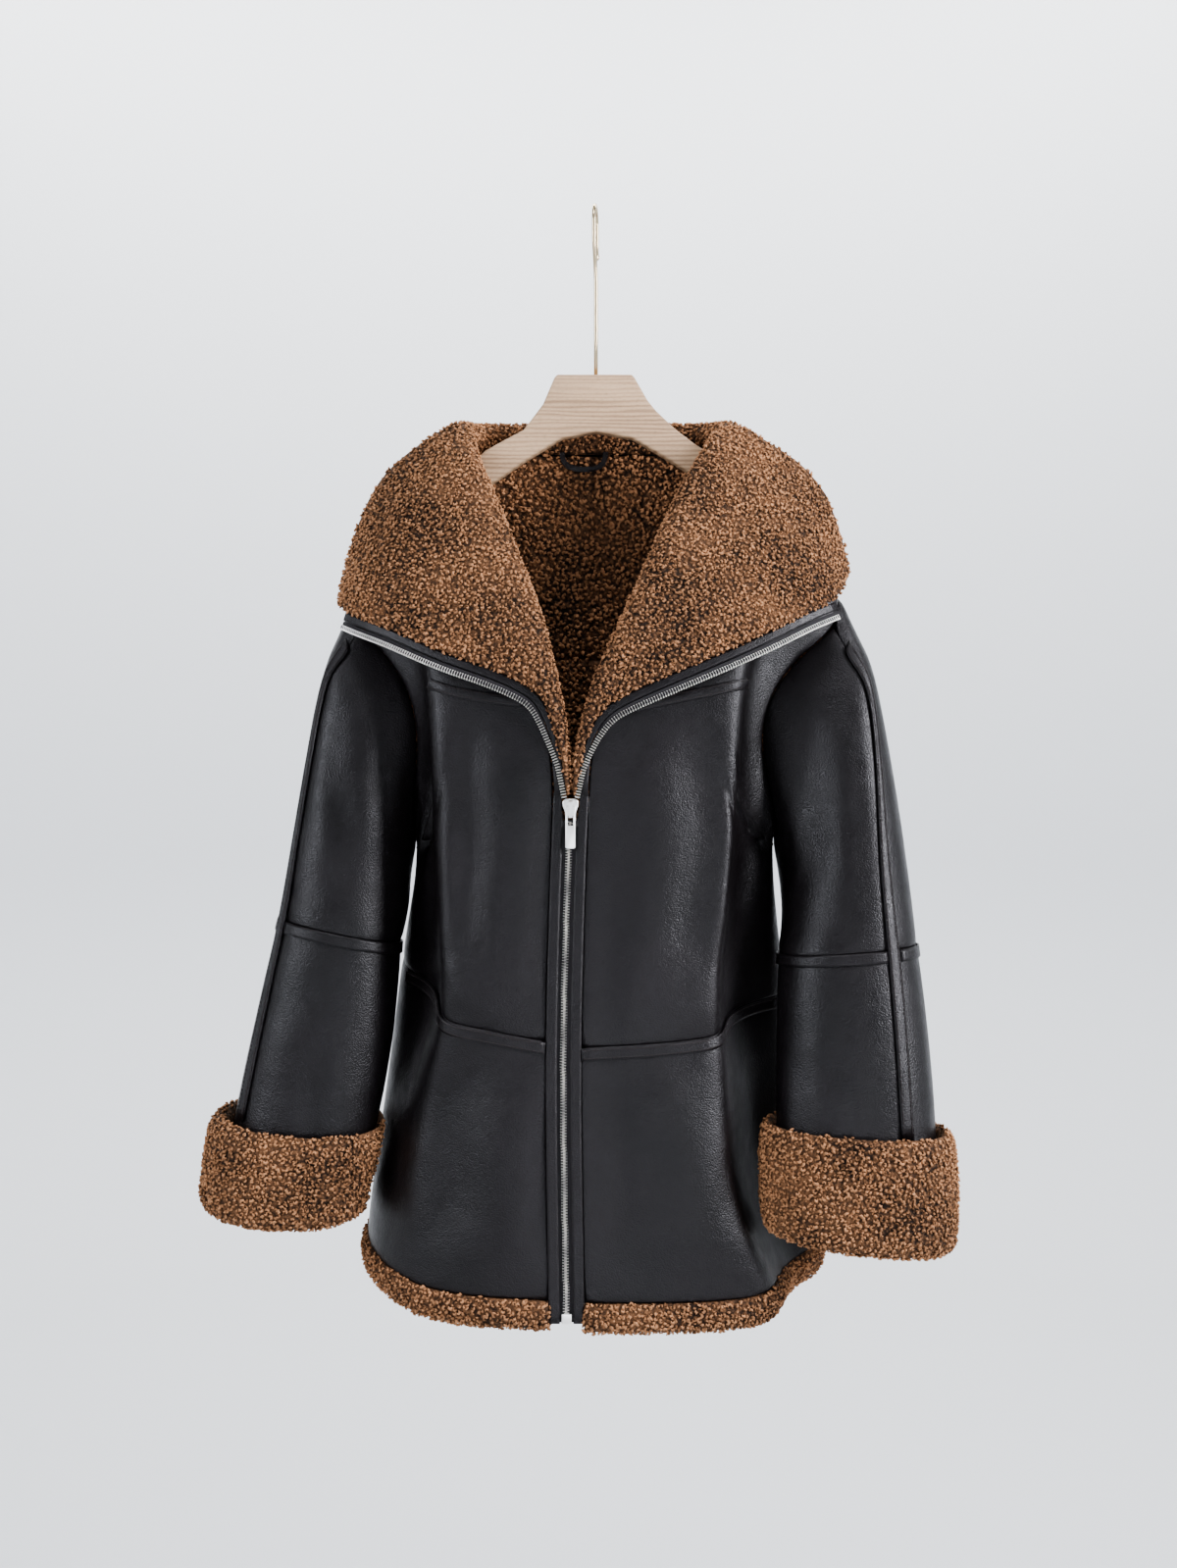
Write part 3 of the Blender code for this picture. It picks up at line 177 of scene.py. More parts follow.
def makeMetal(name, colour, roughness):
    # plated metal with fine drawn marks, so its glints break up
    made, tree, shader = newMaterial(name)
    spot = addNode(tree, "ShaderNodeTexCoord").outputs["Object"]
    spot = addNode(tree, "ShaderNodeMapping", {"Vector": spot, "Scale": (1, 1, 0.15)}).outputs[0]
    marks = addNode(tree, "ShaderNodeTexNoise", {"Vector": spot, "Scale": 3000.0, "Detail": 2.0})
    gloss = addNode(tree, "ShaderNodeMapRange",
                    {"Value": marks.outputs["Fac"], "To Min": roughness - 0.06,
                     "To Max": roughness + 0.1})
    bump = addNode(tree, "ShaderNodeBump",
                   {"Height": marks.outputs["Fac"], "Strength": 0.15, "Distance": 0.0001})
    setInputs(tree, shader, {"Base Color": linear(colour), "Metallic": 1.0,
                             "Roughness": gloss.outputs["Result"],
                             "Normal": bump.outputs["Normal"]})
    return made


def makeWood(name):
    # raw pinkish hardwood: long darker grain lines along the arms, small pores, sanded dull
    made, tree, shader = newMaterial(name)
    spot = addNode(tree, "ShaderNodeTexCoord").outputs["Object"]
    close = addNode(tree, "ShaderNodeMapping", {"Vector": spot, "Scale": (1, 9, 9)}).outputs[0]
    spot = addNode(tree, "ShaderNodeMapping", {"Vector": spot, "Scale": (1, 4, 9)}).outputs[0]
    sway = addNode(tree, "ShaderNodeTexNoise", {"Vector": spot, "Scale": 6.0, "Detail": 3.0})
    bands = addNode(tree, "ShaderNodeTexWave",
                    {"Vector": spot, "Scale": 9.0, "Distortion": 7.0, "Detail": 3.0,
                     "Detail Scale": 1.2}, bands_direction="Z")
    pores = addNode(tree, "ShaderNodeTexNoise", {"Vector": close, "Scale": 260.0, "Detail": 4.0})
    mixed = addNode(tree, "ShaderNodeMath",
                    {0: bands.outputs["Fac"], 1: 0.45, 2: sway.outputs["Fac"]},
                    operation="MULTIPLY_ADD")
    tone = addNode(tree, "ShaderNodeValToRGB", {"Fac": mixed.outputs[0]},
                   [(0.25, "#7d654f"), (0.6, "#a08467"), (0.95, "#b69a7c")])
    dark = addNode(tree, "ShaderNodeValToRGB", {"Fac": pores.outputs["Fac"]},
                   [(0.3, 0.72), (0.5, 1.0)])
    both = addNode(tree, "ShaderNodeMix",
                   {"Factor": 1.0, 6: tone.outputs["Color"], 7: dark.outputs["Color"]},
                   data_type="RGBA", blend_type="MULTIPLY")
    bump = addNode(tree, "ShaderNodeBump",
                   {"Height": pores.outputs["Fac"], "Strength": 0.25, "Distance": 0.0003})
    setInputs(tree, shader, {"Base Color": both.outputs[2], "Roughness": 0.62,
                             "Normal": bump.outputs["Normal"]})
    return made


def makeTape(name, colour):
    # woven tape and twisted thread: close ribs, quite matt
    made, tree, shader = newMaterial(name)
    spot = addNode(tree, "ShaderNodeTexCoord").outputs["Object"]
    ribs = addNode(tree, "ShaderNodeTexWave", {"Vector": spot, "Scale": 380.0}, wave_type="BANDS",
                   bands_direction="Z")
    bump = addNode(tree, "ShaderNodeBump",
                   {"Height": ribs.outputs["Fac"], "Strength": 0.4, "Distance": 0.0003})
    setInputs(tree, shader, {"Base Color": linear(colour), "Roughness": 0.8,
                             "Normal": bump.outputs["Normal"]})
    return made


hide = makeLeather("pebbled brown-black hide")
stripHide = makeLeather("strip of pebbled hide", 0.1)
# the fleece under the curls is painted darker than the curls: painted shade where the curls part
fleece = makeWool("fleece under the curls", "#20150d", "#74533a", True)
curls = makeWool("caramel fleece curls", "#352013", "#ab7e5b", False)
nickel = makeMetal("satin nickel", "#f1efea", 0.34)
# the chain core is painted dark nickel: painted shade in the gaps between the closed teeth
paintedShadeNickel = makeMetal("nickel in the shade of the teeth", "#3c3b3a", 0.45)
wire = makeMetal("plated hook wire", "#cdbb9c", 0.2)
wood = makeWood("raw pinkish hardwood")
tapeCloth = makeTape("black zip tape", "#161316")
thread = makeTape("dark sewing thread", "#241d1c")
print("materials made")


# each wall of hide and fleece is smoothed from its solid
panels = {"levels": 2, "edgeRoll": 0.0012, "rollWidth": 0.005, "sharp": 62, "thickest": 0.0115,
          "lookOut": 0.055, "across": 0.35, "closing": 0.0003}
# the stand of hide beside the slider: its edges in x, its top and foot, and how much it widens
stand = {"left": -0.0246, "right": -0.016, "top": -0.4755, "foot": -0.5065, "tall": 0.031,
         "widens": 0.0056}
wallNodes = [name for name in nodes if name.startswith(("front_", "back_", "sleeve_"))
             and "strap" not in name]


def treeOf(names):
    # the solids' faces together, for rays to meet
    verts, faces = [], []
    for name in names:
        mesh = nodes[name].data
        faces += [[i + len(verts) for i in face.vertices] for face in mesh.polygons]
        verts += [vert.co.copy() for vert in mesh.vertices]
    return BVHTree.FromPolygons(verts, faces)


coatTree = treeOf(wallNodes)


def plainObject(name, mesh, *finishes):
    made = bpy.data.objects.new(name, mesh)
    scene.collection.objects.link(made)
    for finish in finishes:
        mesh.materials.append(finish)
    return made


def spotsOf(mesh):
    spots = np.zeros(len(mesh.vertices) * 3)
    mesh.vertices.foreach_get("co", spots)
    return spots.reshape(-1, 3)


def moveTo(mesh, spots):
    mesh.vertices.foreach_set("co", spots.ravel())
    mesh.update()


def evaluated(made):
    # the object's modifiers, applied
    bpy.context.view_layer.update()
    mesh = bpy.data.meshes.new_from_object(
        made.evaluated_get(bpy.context.evaluated_depsgraph_get()))
    old = made.data
    made.modifiers.clear()
    made.data = mesh
    if old.users == 0:
        bpy.data.meshes.remove(old)
    return made


def nearFaces(face):
    return [other for edge in face.edges if len(edge.link_faces) == 2
            for other in edge.link_faces if other is not face]


def markSheets(work, panel):
    # 0 on a wall's outside, 1 on its inside, 2 on the rim between them
    tree = BVHTree.FromBMesh(work)
    rim = set()
    for face in work.faces:
        spot = face.calc_center_median()
        through = tree.ray_cast(spot - face.normal * 0.00001, -face.normal)[3]
        if through is None or through > panels["thickest"]:
            rim.add(face)
    group, areas = {}, []
    for face in work.faces:
        if face in group or face in rim:
            continue
        number, area, queue = len(areas), 0.0, [face]
        group[face] = number
        while queue:
            here = queue.pop()
            area += here.calc_area()
            for edge in here.edges:
                if len(edge.link_faces) != 2 or edge.calc_face_angle(0) > math.radians(
                        panels["sharp"]):
                    continue
                for other in edge.link_faces:
                    if other not in group and other not in rim:
                        group[other] = number
                        queue.append(other)
        areas.append(area)
    order = sorted(range(len(areas)), key=lambda i: -areas[i])[:2]
    blocked = {number: 0.0 for number in order}
    for face, number in group.items():
        if number in blocked:
            spot = face.calc_center_median() + face.normal * 0.00002
            if coatTree.ray_cast(spot, face.normal, panels["across"])[3] is not None:
                blocked[number] += face.calc_area() / areas[number]
    if panel:
        order.sort(key=lambda number: blocked[number])
    for face in work.faces:
        number = group.get(face)
        face.material_index = order.index(number) if number in order else 2


def markUnderside(work, others):
    # a turned-back piece: 0 where its face looks out, 1 where it looks at what it lies on
    trees = [BVHTree.FromBMesh(work)]
    for other in others:
        beside = bmesh.new()
        beside.from_mesh(nodes[other].data)
        trees.append(BVHTree.FromBMesh(beside))
        beside.free()
    for face in work.faces:
        spot = face.calc_center_median() + face.normal * 0.001
        near = [tree.ray_cast(spot, face.normal, panels["lookOut"])[3] for tree in trees]
        face.material_index = 0 if all(way is None for way in near) else 1
    for turn in range(3):
        votes = {face: sum(other.material_index for other in nearFaces(face))
                 for face in work.faces}
        for face, vote in votes.items():
            if vote == 0 or vote >= len(nearFaces(face)):
                face.material_index = min(vote, 1)
    for face in work.faces:
        # below the turn-back, what shows beside the slider is the stand's hide
        spot = face.calc_center_median()
        more = stand["widens"] * max(0.0, spot.z - stand["foot"]) / stand["tall"]
        inside = stand["left"] - more < spot.x < stand["right"] + more
        if spot.z < stand["top"] and not inside:
            face.material_index = 1


def pullIn(work, deep):
    # the skin's outer ring is drawn into the wall, so a seam shows as a soft groove
    moves = {}
    for vert in work.verts:
        kinds = {face.material_index for face in vert.link_faces}
        if 0 in kinds and kinds & {1, 2}:
            away = Vector()
            for face in vert.link_faces:
                if face.material_index == 0:
                    away += face.normal
            moves[vert] = away.normalized() * deep
    for vert, move in moves.items():
        vert.co -= move
    # the rims grow half a seam, so that no light comes through
    growth = {}
    for vert in work.verts:
        away = Vector()
        for face in vert.link_faces:
            if face.material_index == 2:
                away += face.normal
        if away.length > 0.1:
            growth[vert] = away.normalized() * panels["closing"]
    for vert, move in growth.items():
        vert.co += move


def smoothWall(name, newName, finishes, lying=None, seams=True):
    # finishes: the outside, the inside and the rim; lying: what a turned-back piece lies on
    work = bmesh.new()
    work.from_mesh(nodes[name].data)
    bmesh.ops.remove_doubles(work, verts=work.verts, dist=0.00002)
    bmesh.ops.recalc_face_normals(work, faces=work.faces)
    bmesh.ops.join_triangles(work, faces=work.faces, angle_face_threshold=math.radians(50),
                             angle_shape_threshold=math.radians(80))
    if lying:
        markUnderside(work, lying)
    else:
        markSheets(work, seams)
    if seams:
        sheet = [face for face in work.faces if face.material_index == 0]
        bmesh.ops.inset_region(work, faces=sheet, thickness=panels["rollWidth"],
                               use_even_offset=True, use_boundary=True)
        for face in work.faces:
            if face.material_index not in (0, 1, 2):
                face.material_index = 0
        pullIn(work, panels["edgeRoll"])
    crease = work.edges.layers.float.new("crease_edge")
    for edge in work.edges:
        kinds = {face.material_index for face in edge.link_faces}
        if (len(kinds) > 1 and not lying) or edge.calc_face_angle(0) > math.radians(75):
            edge[crease] = 1.0
    mesh = bpy.data.meshes.new(newName)
    work.to_mesh(mesh)
    work.free()
    made = plainObject(newName, mesh, *finishes)
    rounding = made.modifiers.new("round", "SUBSURF")
    rounding.levels = rounding.render_levels = panels["levels"]
    evaluated(made)
    made.data.shade_smooth()
    return made


coatPieces = []
skin = (hide, fleece, stripHide)
turned = (fleece, hide, fleece)
wool = (fleece, fleece, fleece)
# each row: the node, the piece, its flat width and length in metres, the share of it that is cut
walls = [
    ("front_upper", "front", (0.26, 0.55), 0.6),
    ("front_lower", "lower_front", (0.27, 0.29), 0.7),
    ("back_yoke", "yoke", (0.26, 0.24), 0.66),
    ("back_lower", "back", (0.24, 0.53), 0.8),
    ("sleeve_upper_front", "upper_sleeve_front", (0.14, 0.30), 0.7),
    ("sleeve_upper_back", "upper_sleeve_back", (0.18, 0.33), 0.72),
    ("sleeve_lower_front", "lower_sleeve_front", (0.15, 0.25), 0.8),
    ("sleeve_lower_back", "lower_sleeve_back", (0.22, 0.26), 0.85)]


def addPiece(node, name, finishes, slot, flat, area, **ways):
    made = smoothWall(node, name, finishes, **ways)
    coatPieces.append((made, node, slot, flat, area))


for side in sides:
    for node, piece, flat, share in walls:
        addPiece(f"{node}_{side}", f"{piece}_{side}", skin, "leather", flat,
                 flat[0] * flat[1] * share)
    addPiece(f"lapel_{side}", f"lapel_fleece_{side}", turned, "wool", (0.2, 0.37), 0.045,
             lying=[f"front_upper_{side}", f"back_yoke_{side}"], seams=False)
    addPiece(f"cuff_{side}", f"cuff_fleece_{side}", wool, "wool", (0.12, 0.38), 0.036, seams=False)
    addPiece(f"hem_wool_front_{side}", f"hem_fleece_{side}", wool, "wool", (0.04, 0.26), 0.009,
             seams=False)
addPiece("collar", "collar_fleece", turned, "wool", (0.2, 0.56), 0.1, seams=False)
addPiece("hem_wool_back", "hem_fleece_back", wool, "wool", (0.04, 0.45), 0.016, seams=False)
print("walls smoothed", sum(len(piece[0].data.polygons) for piece in coatPieces))

# strips and bands lie on the hide: a thin skin with rolled edges
strips = [
    ("sleeve_strap", stripHide, "leather", (0.022, 0.44), 0.0048),
    ("elbow_band", stripHide, "leather", (0.03, 0.13), 0.0036),
    ("pocket_strip", stripHide, "leather", (0.014, 0.18), 0.002),
    ("facing_strip", stripHide, "strip_leather", (0.01, 0.3), 0.0024),
    ("placket", stripHide, "strip_leather", (0.019, 0.43), 0.008),
    ("zip_tape", tapeCloth, "zip_tape_cloth", (0.01, 0.41), 0.0027),
    ("zip_side", tapeCloth, "zip_tape_cloth", (0.01, 0.3), 0.0022)]
for side in sides:
    for node, finish, slot, flat, area in strips:
        addPiece(f"{node}_{side}", f"{node}_made_{side}", (finish, finish, finish), slot, flat,
                 area, seams=False)
pieceNamed = {piece[0].name: piece[0] for piece in coatPieces}

# soft troughs (depth over 0) and ridges (under 0) in the hide:
# the ends' x and z, half width and depth in mm, pushed along the way given for the group
creases = {
    "front": ((0, 1, 0), ("front_", "lower_front_", "pocket_strip_"), [
        (12, -560, 6, -900, 24, 2.0), (48, -470, 42, -700, 34, -2.6),
        (92, -455, 84, -668, 30, 4.2), (116, -500, 112, -640, 16, -1.8),
        (60, -735, 78, -905, 44, -3.0), (22, -740, 20, -880, 18, 1.6),
        (124, -742, 118, -880, 30, 3.2), (96, -700, 60, -745, 16, 1.6),
        (-38, -480, -42, -700, 22, 1.8), (-70, -460, -72, -690, 34, -2.2),
        (-104, -450, -108, -640, 24, 3.4), (-124, -520, -120, -640, 16, -1.5),
        (-62, -740, -78, -900, 40, -3.2), (-34, -745, -40, -890, 18, 1.8),
        (-112, -730, -122, -880, 28, 3.6), (-118, -690, -80, -716, 14, 2.2),
        (-128, -650, -104, -690, 12, -1.6), (128, -668, 104, -700, 12, 1.8),
        (150, -770, 138, -890, 22, -2.2), (-150, -790, -156, -880, 20, -1.8)]),
    "left sleeve": ((0.12, 0.99, 0), ("upper_sleeve_front_left", "lower_sleeve_front_left",
                                      "elbow_band_made_left", "sleeve_strap_made_left"), [
        (-262, -600, -206, -586, 12, 2.0), (-258, -560, -214, -548, 14, -1.2),
        (-226, -420, -214, -560, 20, 2.4), (-196, -430, -190, -560, 16, -1.6),
        (-276, -690, -226, -676, 12, 1.6), (-242, -720, -236, -840, 20, 2.2),
        (-212, -700, -208, -820, 16, -1.6), (-290, -770, -250, -756, 10, 1.2)]),
    "right sleeve": ((-0.16, 0.98, 0), ("upper_sleeve_front_right", "lower_sleeve_front_right",
                                        "elbow_band_made_right"), [
        (150, -732, 208, -742, 9, 1.9), (158, -752, 196, -758, 8, 1.2),
        (176, -640, 206, -650, 10, -1.0), (176, -440, 180, -590, 22, 2.6),
        (206, -440, 208, -600, 16, -1.6), (166, -700, 168, -850, 18, 1.8),
        (148, -600, 200, -612, 12, 1.8)]),
    "back": ((0, -1, 0), ("back_left", "back_right"), [
        (-3, -500, -3, -700, 30, 2.6), (-70, -440, -84, -690, 34, 3.6),
        (66, -450, 76, -700, 36, 3.8), (-104, -600, -118, -880, 30, -3.0),
        (100, -620, 114, -880, 32, -3.0), (-44, -660, -50, -890, 30, -2.4),
        (42, -690, 48, -880, 28, -2.6), (-86, -720, -92, -890, 22, 2.4),
        (84, -740, 88, -885, 20, 2.2), (-30, -640, 34, -648, 12, 1.4),
        (20, -560, 60, -574, 10, -1.1), (-60, -590, -24, -600, 10, 1.2)]),
    "sleeve backs": ((0, -0.99, 0), ("upper_sleeve_back_left", "lower_sleeve_back_left",
                                     "upper_sleeve_back_right", "lower_sleeve_back_right"), [
        (-258, -604, -200, -590, 12, 2.2), (-250, -450, -232, -580, 20, 2.2),
        (-270, -700, -214, -688, 12, 1.8), (-236, -700, -232, -830, 20, 2.4),
        (170, -604, 226, -612, 12, 2.2), (196, -450, 206, -590, 20, 2.4),
        (176, -700, 232, -712, 12, 1.8), (206, -720, 210, -830, 18, 2.2)])}


# a fold sways by a share of its half width, and fades over a third at both ends, past its points
folds = {"sway": 0.12, "waves": 9, "past": 0.1, "fade": 0.33}


def press(verts, way, rows):
    for x0, z0, x1, z1, half, deep in rows:
        start, run = np.array((x0, z0)) / 1000, np.array((x1 - x0, z1 - z0)) / 1000
        length = np.linalg.norm(run)
        run = run / length
        flat = verts[:, [0, 2]] - start
        along = flat @ run / length
        across = flat[:, 0] * run[1] - flat[:, 1] * run[0]
        bend = folds["sway"] * half / 1000 * np.sin(along * folds["waves"] + x0)
        shape = np.cos(np.clip((across + bend) / (half / 1000), -1, 1) * math.pi / 2) ** 2
        ends = np.minimum(along + folds["past"], 1 + folds["past"] - along)
        ends = np.clip(ends / folds["fade"], 0, 1)
        shape *= ends * ends * (3 - 2 * ends)
        verts += shape[:, None] * np.array(way) * deep / 1000
    return verts


for way, starts, rows in creases.values():
    for made, *rest in coatPieces:
        if made.name.startswith(starts):
            moveTo(made.data, press(spotsOf(made.data), way, rows))
print("folds pressed")

# the chest seam's strips, laid on the pressed hide: points in mm, the rest in metres
chestSeam = {"width": 0.009, "thick": 0.0011, "lift": 0.0002, "step": 0.006,
             "left": ((-139, -421), (-120, -427.5), (-102, -431), (-84, -434), (-62, -436.5)),
             "leftFlat": (0.0105, 0.08), "rightFlat": (0.0105, 0.112),
             "right": ((20, -443.5), (44, -438), (68, -433), (98, -427), (127, -420.5))}


def spread(points, step):
    # points at even steps along a smooth line through the ones given
    points = np.array(points, dtype=float)
    ways = np.concatenate(([0], np.cumsum(np.linalg.norm(np.diff(points, axis=0), axis=1))))
    tangents = np.gradient(points, ways, axis=0)
    made = []
    for way in np.linspace(0, ways[-1], max(3, int(ways[-1] / step) + 1)):
        i = min(int(np.searchsorted(ways, way, side="right")) - 1, len(ways) - 2)
        long = ways[i + 1] - ways[i]
        t = (way - ways[i]) / long
        made.append(points[i] * (1 + 2 * t) * (1 - t) ** 2
                    + points[i + 1] * t * t * (3 - 2 * t)
                    + long * (tangents[i] * t * (1 - t) ** 2
                              + tangents[i + 1] * t * t * (t - 1)))
    return np.array(made)


def dropOn(tree, x, z):
    # where the front's hide is at (x, z), and which way it faces
    spot, normal = tree.ray_cast(Vector((x, -1.0, z)), Vector((0, 1, 0)))[:2]
    return np.array(spot), np.array(normal)


def meshTree(made):
    mesh = made.data
    return BVHTree.FromPolygons([vert.co.copy() for vert in mesh.vertices],
                                [list(face.vertices) for face in mesh.polygons])


seamLines = []
for side in sides:
    below = meshTree(pieceNamed[f"front_{side}"])
    line = spread(np.array(chestSeam[side]) / 1000, chestSeam["step"])
    run = np.gradient(line, axis=0)
    run /= np.linalg.norm(run, axis=1, keepdims=True)
    half, thick, lift = chestSeam["width"] / 2, chestSeam["thick"], chestSeam["lift"]
    profile = [(-half, -thick * 0.6), (-half, thick * 0.55), (-half * 0.84, thick), (0, thick),
               (half * 0.84, thick), (half, thick * 0.55), (half, -thick * 0.6)]
    verts, edges = [], ([], [])
    for (x, z), (dx, dz) in zip(line, run):
        for across, up in profile:
            spot, normal = dropOn(below, x - dz * across, z + dx * across)
            verts.append(spot + normal * (up + lift))
        for edge, across in zip(edges, (-half * 0.62, half * 0.62)):
            spot, normal = dropOn(below, x - dz * across, z + dx * across)
            edge.append((spot + normal * (thick + lift), normal))
    count = len(profile)
    faces = [(i * count + k, i * count + (k + 1) % count, (i + 1) * count + (k + 1) % count,
              (i + 1) * count + k) for i in range(len(line) - 1) for k in range(count)]
    faces += [tuple(range(count))[::-1],
              tuple(range((len(line) - 1) * count, len(line) * count))]
    mesh = bpy.data.meshes.new(f"chest_seam_{side}")
    mesh.from_pydata([tuple(vert) for vert in verts], [], faces)
    work = bmesh.new()
    work.from_mesh(mesh)
    bmesh.ops.recalc_face_normals(work, faces=work.faces)
    work.to_mesh(mesh)
    work.free()
    mesh.shade_smooth()
    mesh.set_sharp_from_angle(angle=math.radians(60))
    made = plainObject(f"chest_seam_{side}", mesh, stripHide)
    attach(made, "coat")
    seamLines += [edges[0], edges[1]]
print("chest seam laid")

# how much wider the tape and placket get, and the lapel's foot that closes down on the placket
tucks = {"zip_tape_made": 1.9, "placket_made": 1.04, "rowHeight": 0.006, "foot": -0.496,
         "down": 0.0046, "over": 0.0105}


def widen(name, share):
    # a narrow piece grows across its own length, so that it tucks under what lies beside it
    mesh = pieceNamed[name].data
    spots = spotsOf(mesh)
    level = np.round(spots[:, 2] / tucks["rowHeight"])
    for here in np.unique(level):
        row = level == here
        middle = (spots[row, 0].min() + spots[row, 0].max()) / 2
        spots[row, 0] = middle + (spots[row, 0] - middle) * share
    moveTo(mesh, spots)


for side in sides:
    for name in ("zip_tape_made", "placket_made"):
        widen(f"{name}_{side}", tucks[name])
    for vert in pieceNamed[f"lapel_fleece_{side}"].data.vertices:
        if vert.co.z < tucks["foot"]:
            vert.co.z += tucks["down"] * (vert.co.z - tucks["foot"]) / tucks["over"]
for made, node, slot, flat, area in coatPieces:
    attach(made, "coat")
    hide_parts(node)
print("strips made")


# one curl is a short spiral of wool; its size varies between least and most
fleeceCurls = {"loop": 0.0014, "tip": 0.0008, "rise": 0.0021, "strand": 0.00125, "sides": 3,
               "steps": 6, "turns": 0.8, "least": 0.75, "most": 1.3, "tilt": 1.0,
               "point": 0.35, "densest": 400000.0}


def newNodes(name, inputs):
    tree = bpy.data.node_groups.new(name, "GeometryNodeTree")
    tree.is_modifier = True
    tree.interface.new_socket("Geometry", in_out="INPUT", socket_type="NodeSocketGeometry")
    for label, kind, value in inputs:
        socket = tree.interface.new_socket(label, in_out="INPUT", socket_type=kind)
        socket.default_value = value
    tree.interface.new_socket("Geometry", in_out="OUTPUT", socket_type="NodeSocketGeometry")
    return tree, tree.nodes.new("NodeGroupInput"), tree.nodes.new("NodeGroupOutput")


def useNodes(made, tree, **values):
    # inputs are set by their sockets' identifiers before the object is evaluated
    modifier = made.modifiers.new(tree.name, "NODES")
    modifier.node_group = tree
    for item in tree.interface.items_tree:
        if item.item_type == "SOCKET" and item.in_out == "INPUT" and item.name in values:
            modifier[item.identifier] = values[item.name]
    return evaluated(made)


def curlNodes():
    tree, start, end = newNodes("fleece curls", [
        ("Spacing", "NodeSocketFloat", 0.004), ("Curl Size", "NodeSocketFloat", 1.0),
        ("Seed", "NodeSocketInt", 1), ("Turns", "NodeSocketFloat", fleeceCurls["turns"]),
        ("Lift", "NodeSocketFloat", 0.0)])
    here = addNode(tree, "GeometryNodeInputNamedAttribute", {"Name": "curly"}, data_type="FLOAT")
    spots = addNode(tree, "GeometryNodeDistributePointsOnFaces",
                    {"Mesh": start.outputs["Geometry"], "Distance Min": start.outputs["Spacing"],
                     "Density Max": fleeceCurls["densest"], "Density Factor": here.outputs[0],
                     "Seed": start.outputs["Seed"]}, distribute_method="POISSON")
    loop = addNode(tree, "GeometryNodeCurveSpiral",
                   {"Resolution": fleeceCurls["steps"], "Rotations": start.outputs["Turns"],
                    "Start Radius": fleeceCurls["loop"], "End Radius": fleeceCurls["tip"],
                    "Height": fleeceCurls["rise"]})
    along = addNode(tree, "GeometryNodeSplineParameter")
    off = addNode(tree, "ShaderNodeMath", {0: along.outputs["Factor"], 1: 0.5},
                  operation="SUBTRACT")
    off = addNode(tree, "ShaderNodeMath", {0: off.outputs[0]}, operation="ABSOLUTE")
    thin = addNode(tree, "ShaderNodeMapRange",
                   {"Value": off.outputs[0], "From Min": 0.2, "From Max": 0.5, "To Min": 1.0,
                    "To Max": fleeceCurls["point"]})
    loop = addNode(tree, "GeometryNodeSetCurveRadius",
                   {"Curve": loop.outputs[0], "Radius": thin.outputs[0]})
    ring = addNode(tree, "GeometryNodeCurvePrimitiveCircle",
                   {"Resolution": fleeceCurls["sides"], "Radius": fleeceCurls["strand"]},
                   mode="RADIUS")
    tube = addNode(tree, "GeometryNodeCurveToMesh",
                   {"Curve": loop.outputs[0], "Profile Curve": ring.outputs[0], "Fill Caps": True})
    if "Scale" in tube.inputs:
        tree.links.new(thin.outputs[0], tube.inputs["Scale"])
    # the curl's height over its root, which the curls' colour turns into painted shade: dark roots,
    # light tops
    place = addNode(tree, "GeometryNodeInputPosition")
    split = addNode(tree, "ShaderNodeSeparateXYZ", {"Vector": place.outputs[0]})
    high = addNode(tree, "ShaderNodeMapRange",
                   {"Value": split.outputs["Z"], "From Min": 0.0, "From Max": fleeceCurls["rise"]})
    tube = addNode(tree, "GeometryNodeStoreNamedAttribute",
                   {"Geometry": tube.outputs[0], "Name": "curlHigh", "Value": high.outputs[0]},
                   data_type="FLOAT", domain="POINT")
    spin = addNode(tree, "FunctionNodeRandomValue",
                   {"Min": (-fleeceCurls["tilt"], -fleeceCurls["tilt"], 0.0),
                    "Max": (fleeceCurls["tilt"], fleeceCurls["tilt"], 6.283), "Seed": 7},
                   data_type="FLOAT_VECTOR")
    turn = addNode(tree, "FunctionNodeRotateRotation",
                   {"Rotation": spots.outputs["Rotation"], "Rotate By": spin.outputs[0]},
                   rotation_space="LOCAL")
    size = addNode(tree, "FunctionNodeRandomValue",
                   {2: fleeceCurls["least"], 3: fleeceCurls["most"], "Seed": 11},
                   data_type="FLOAT")
    size = addNode(tree, "ShaderNodeMath", {0: size.outputs[1], 1: start.outputs["Curl Size"]},
                   operation="MULTIPLY")
    curled = addNode(tree, "GeometryNodeInstanceOnPoints",
                     {"Points": spots.outputs["Points"], "Instance": tube.outputs[0],
                      "Rotation": turn.outputs[0], "Scale": size.outputs[0]})
    # each curl's own random tone, raised by the painted light given for curls that lie in shade
    own = addNode(tree, "FunctionNodeRandomValue", {2: 0.0, 3: 1.0, "Seed": 5}, data_type="FLOAT")
    own = addNode(tree, "ShaderNodeMath", {0: own.outputs[1], 1: start.outputs["Lift"]},
                  operation="ADD")
    shaded = addNode(tree, "GeometryNodeStoreNamedAttribute",
                     {"Geometry": curled.outputs[0], "Name": "curlShade", "Value": own.outputs[0]},
                     data_type="FLOAT", domain="INSTANCE")
    real = addNode(tree, "GeometryNodeRealizeInstances", {"Geometry": shaded.outputs[0]})
    dressed = addNode(tree, "GeometryNodeSetMaterial",
                      {"Geometry": real.outputs[0], "Material": curls})
    tree.links.new(dressed.outputs[0], end.inputs[0])
    return tree


curlTree = curlNodes()
fleeceFields = []


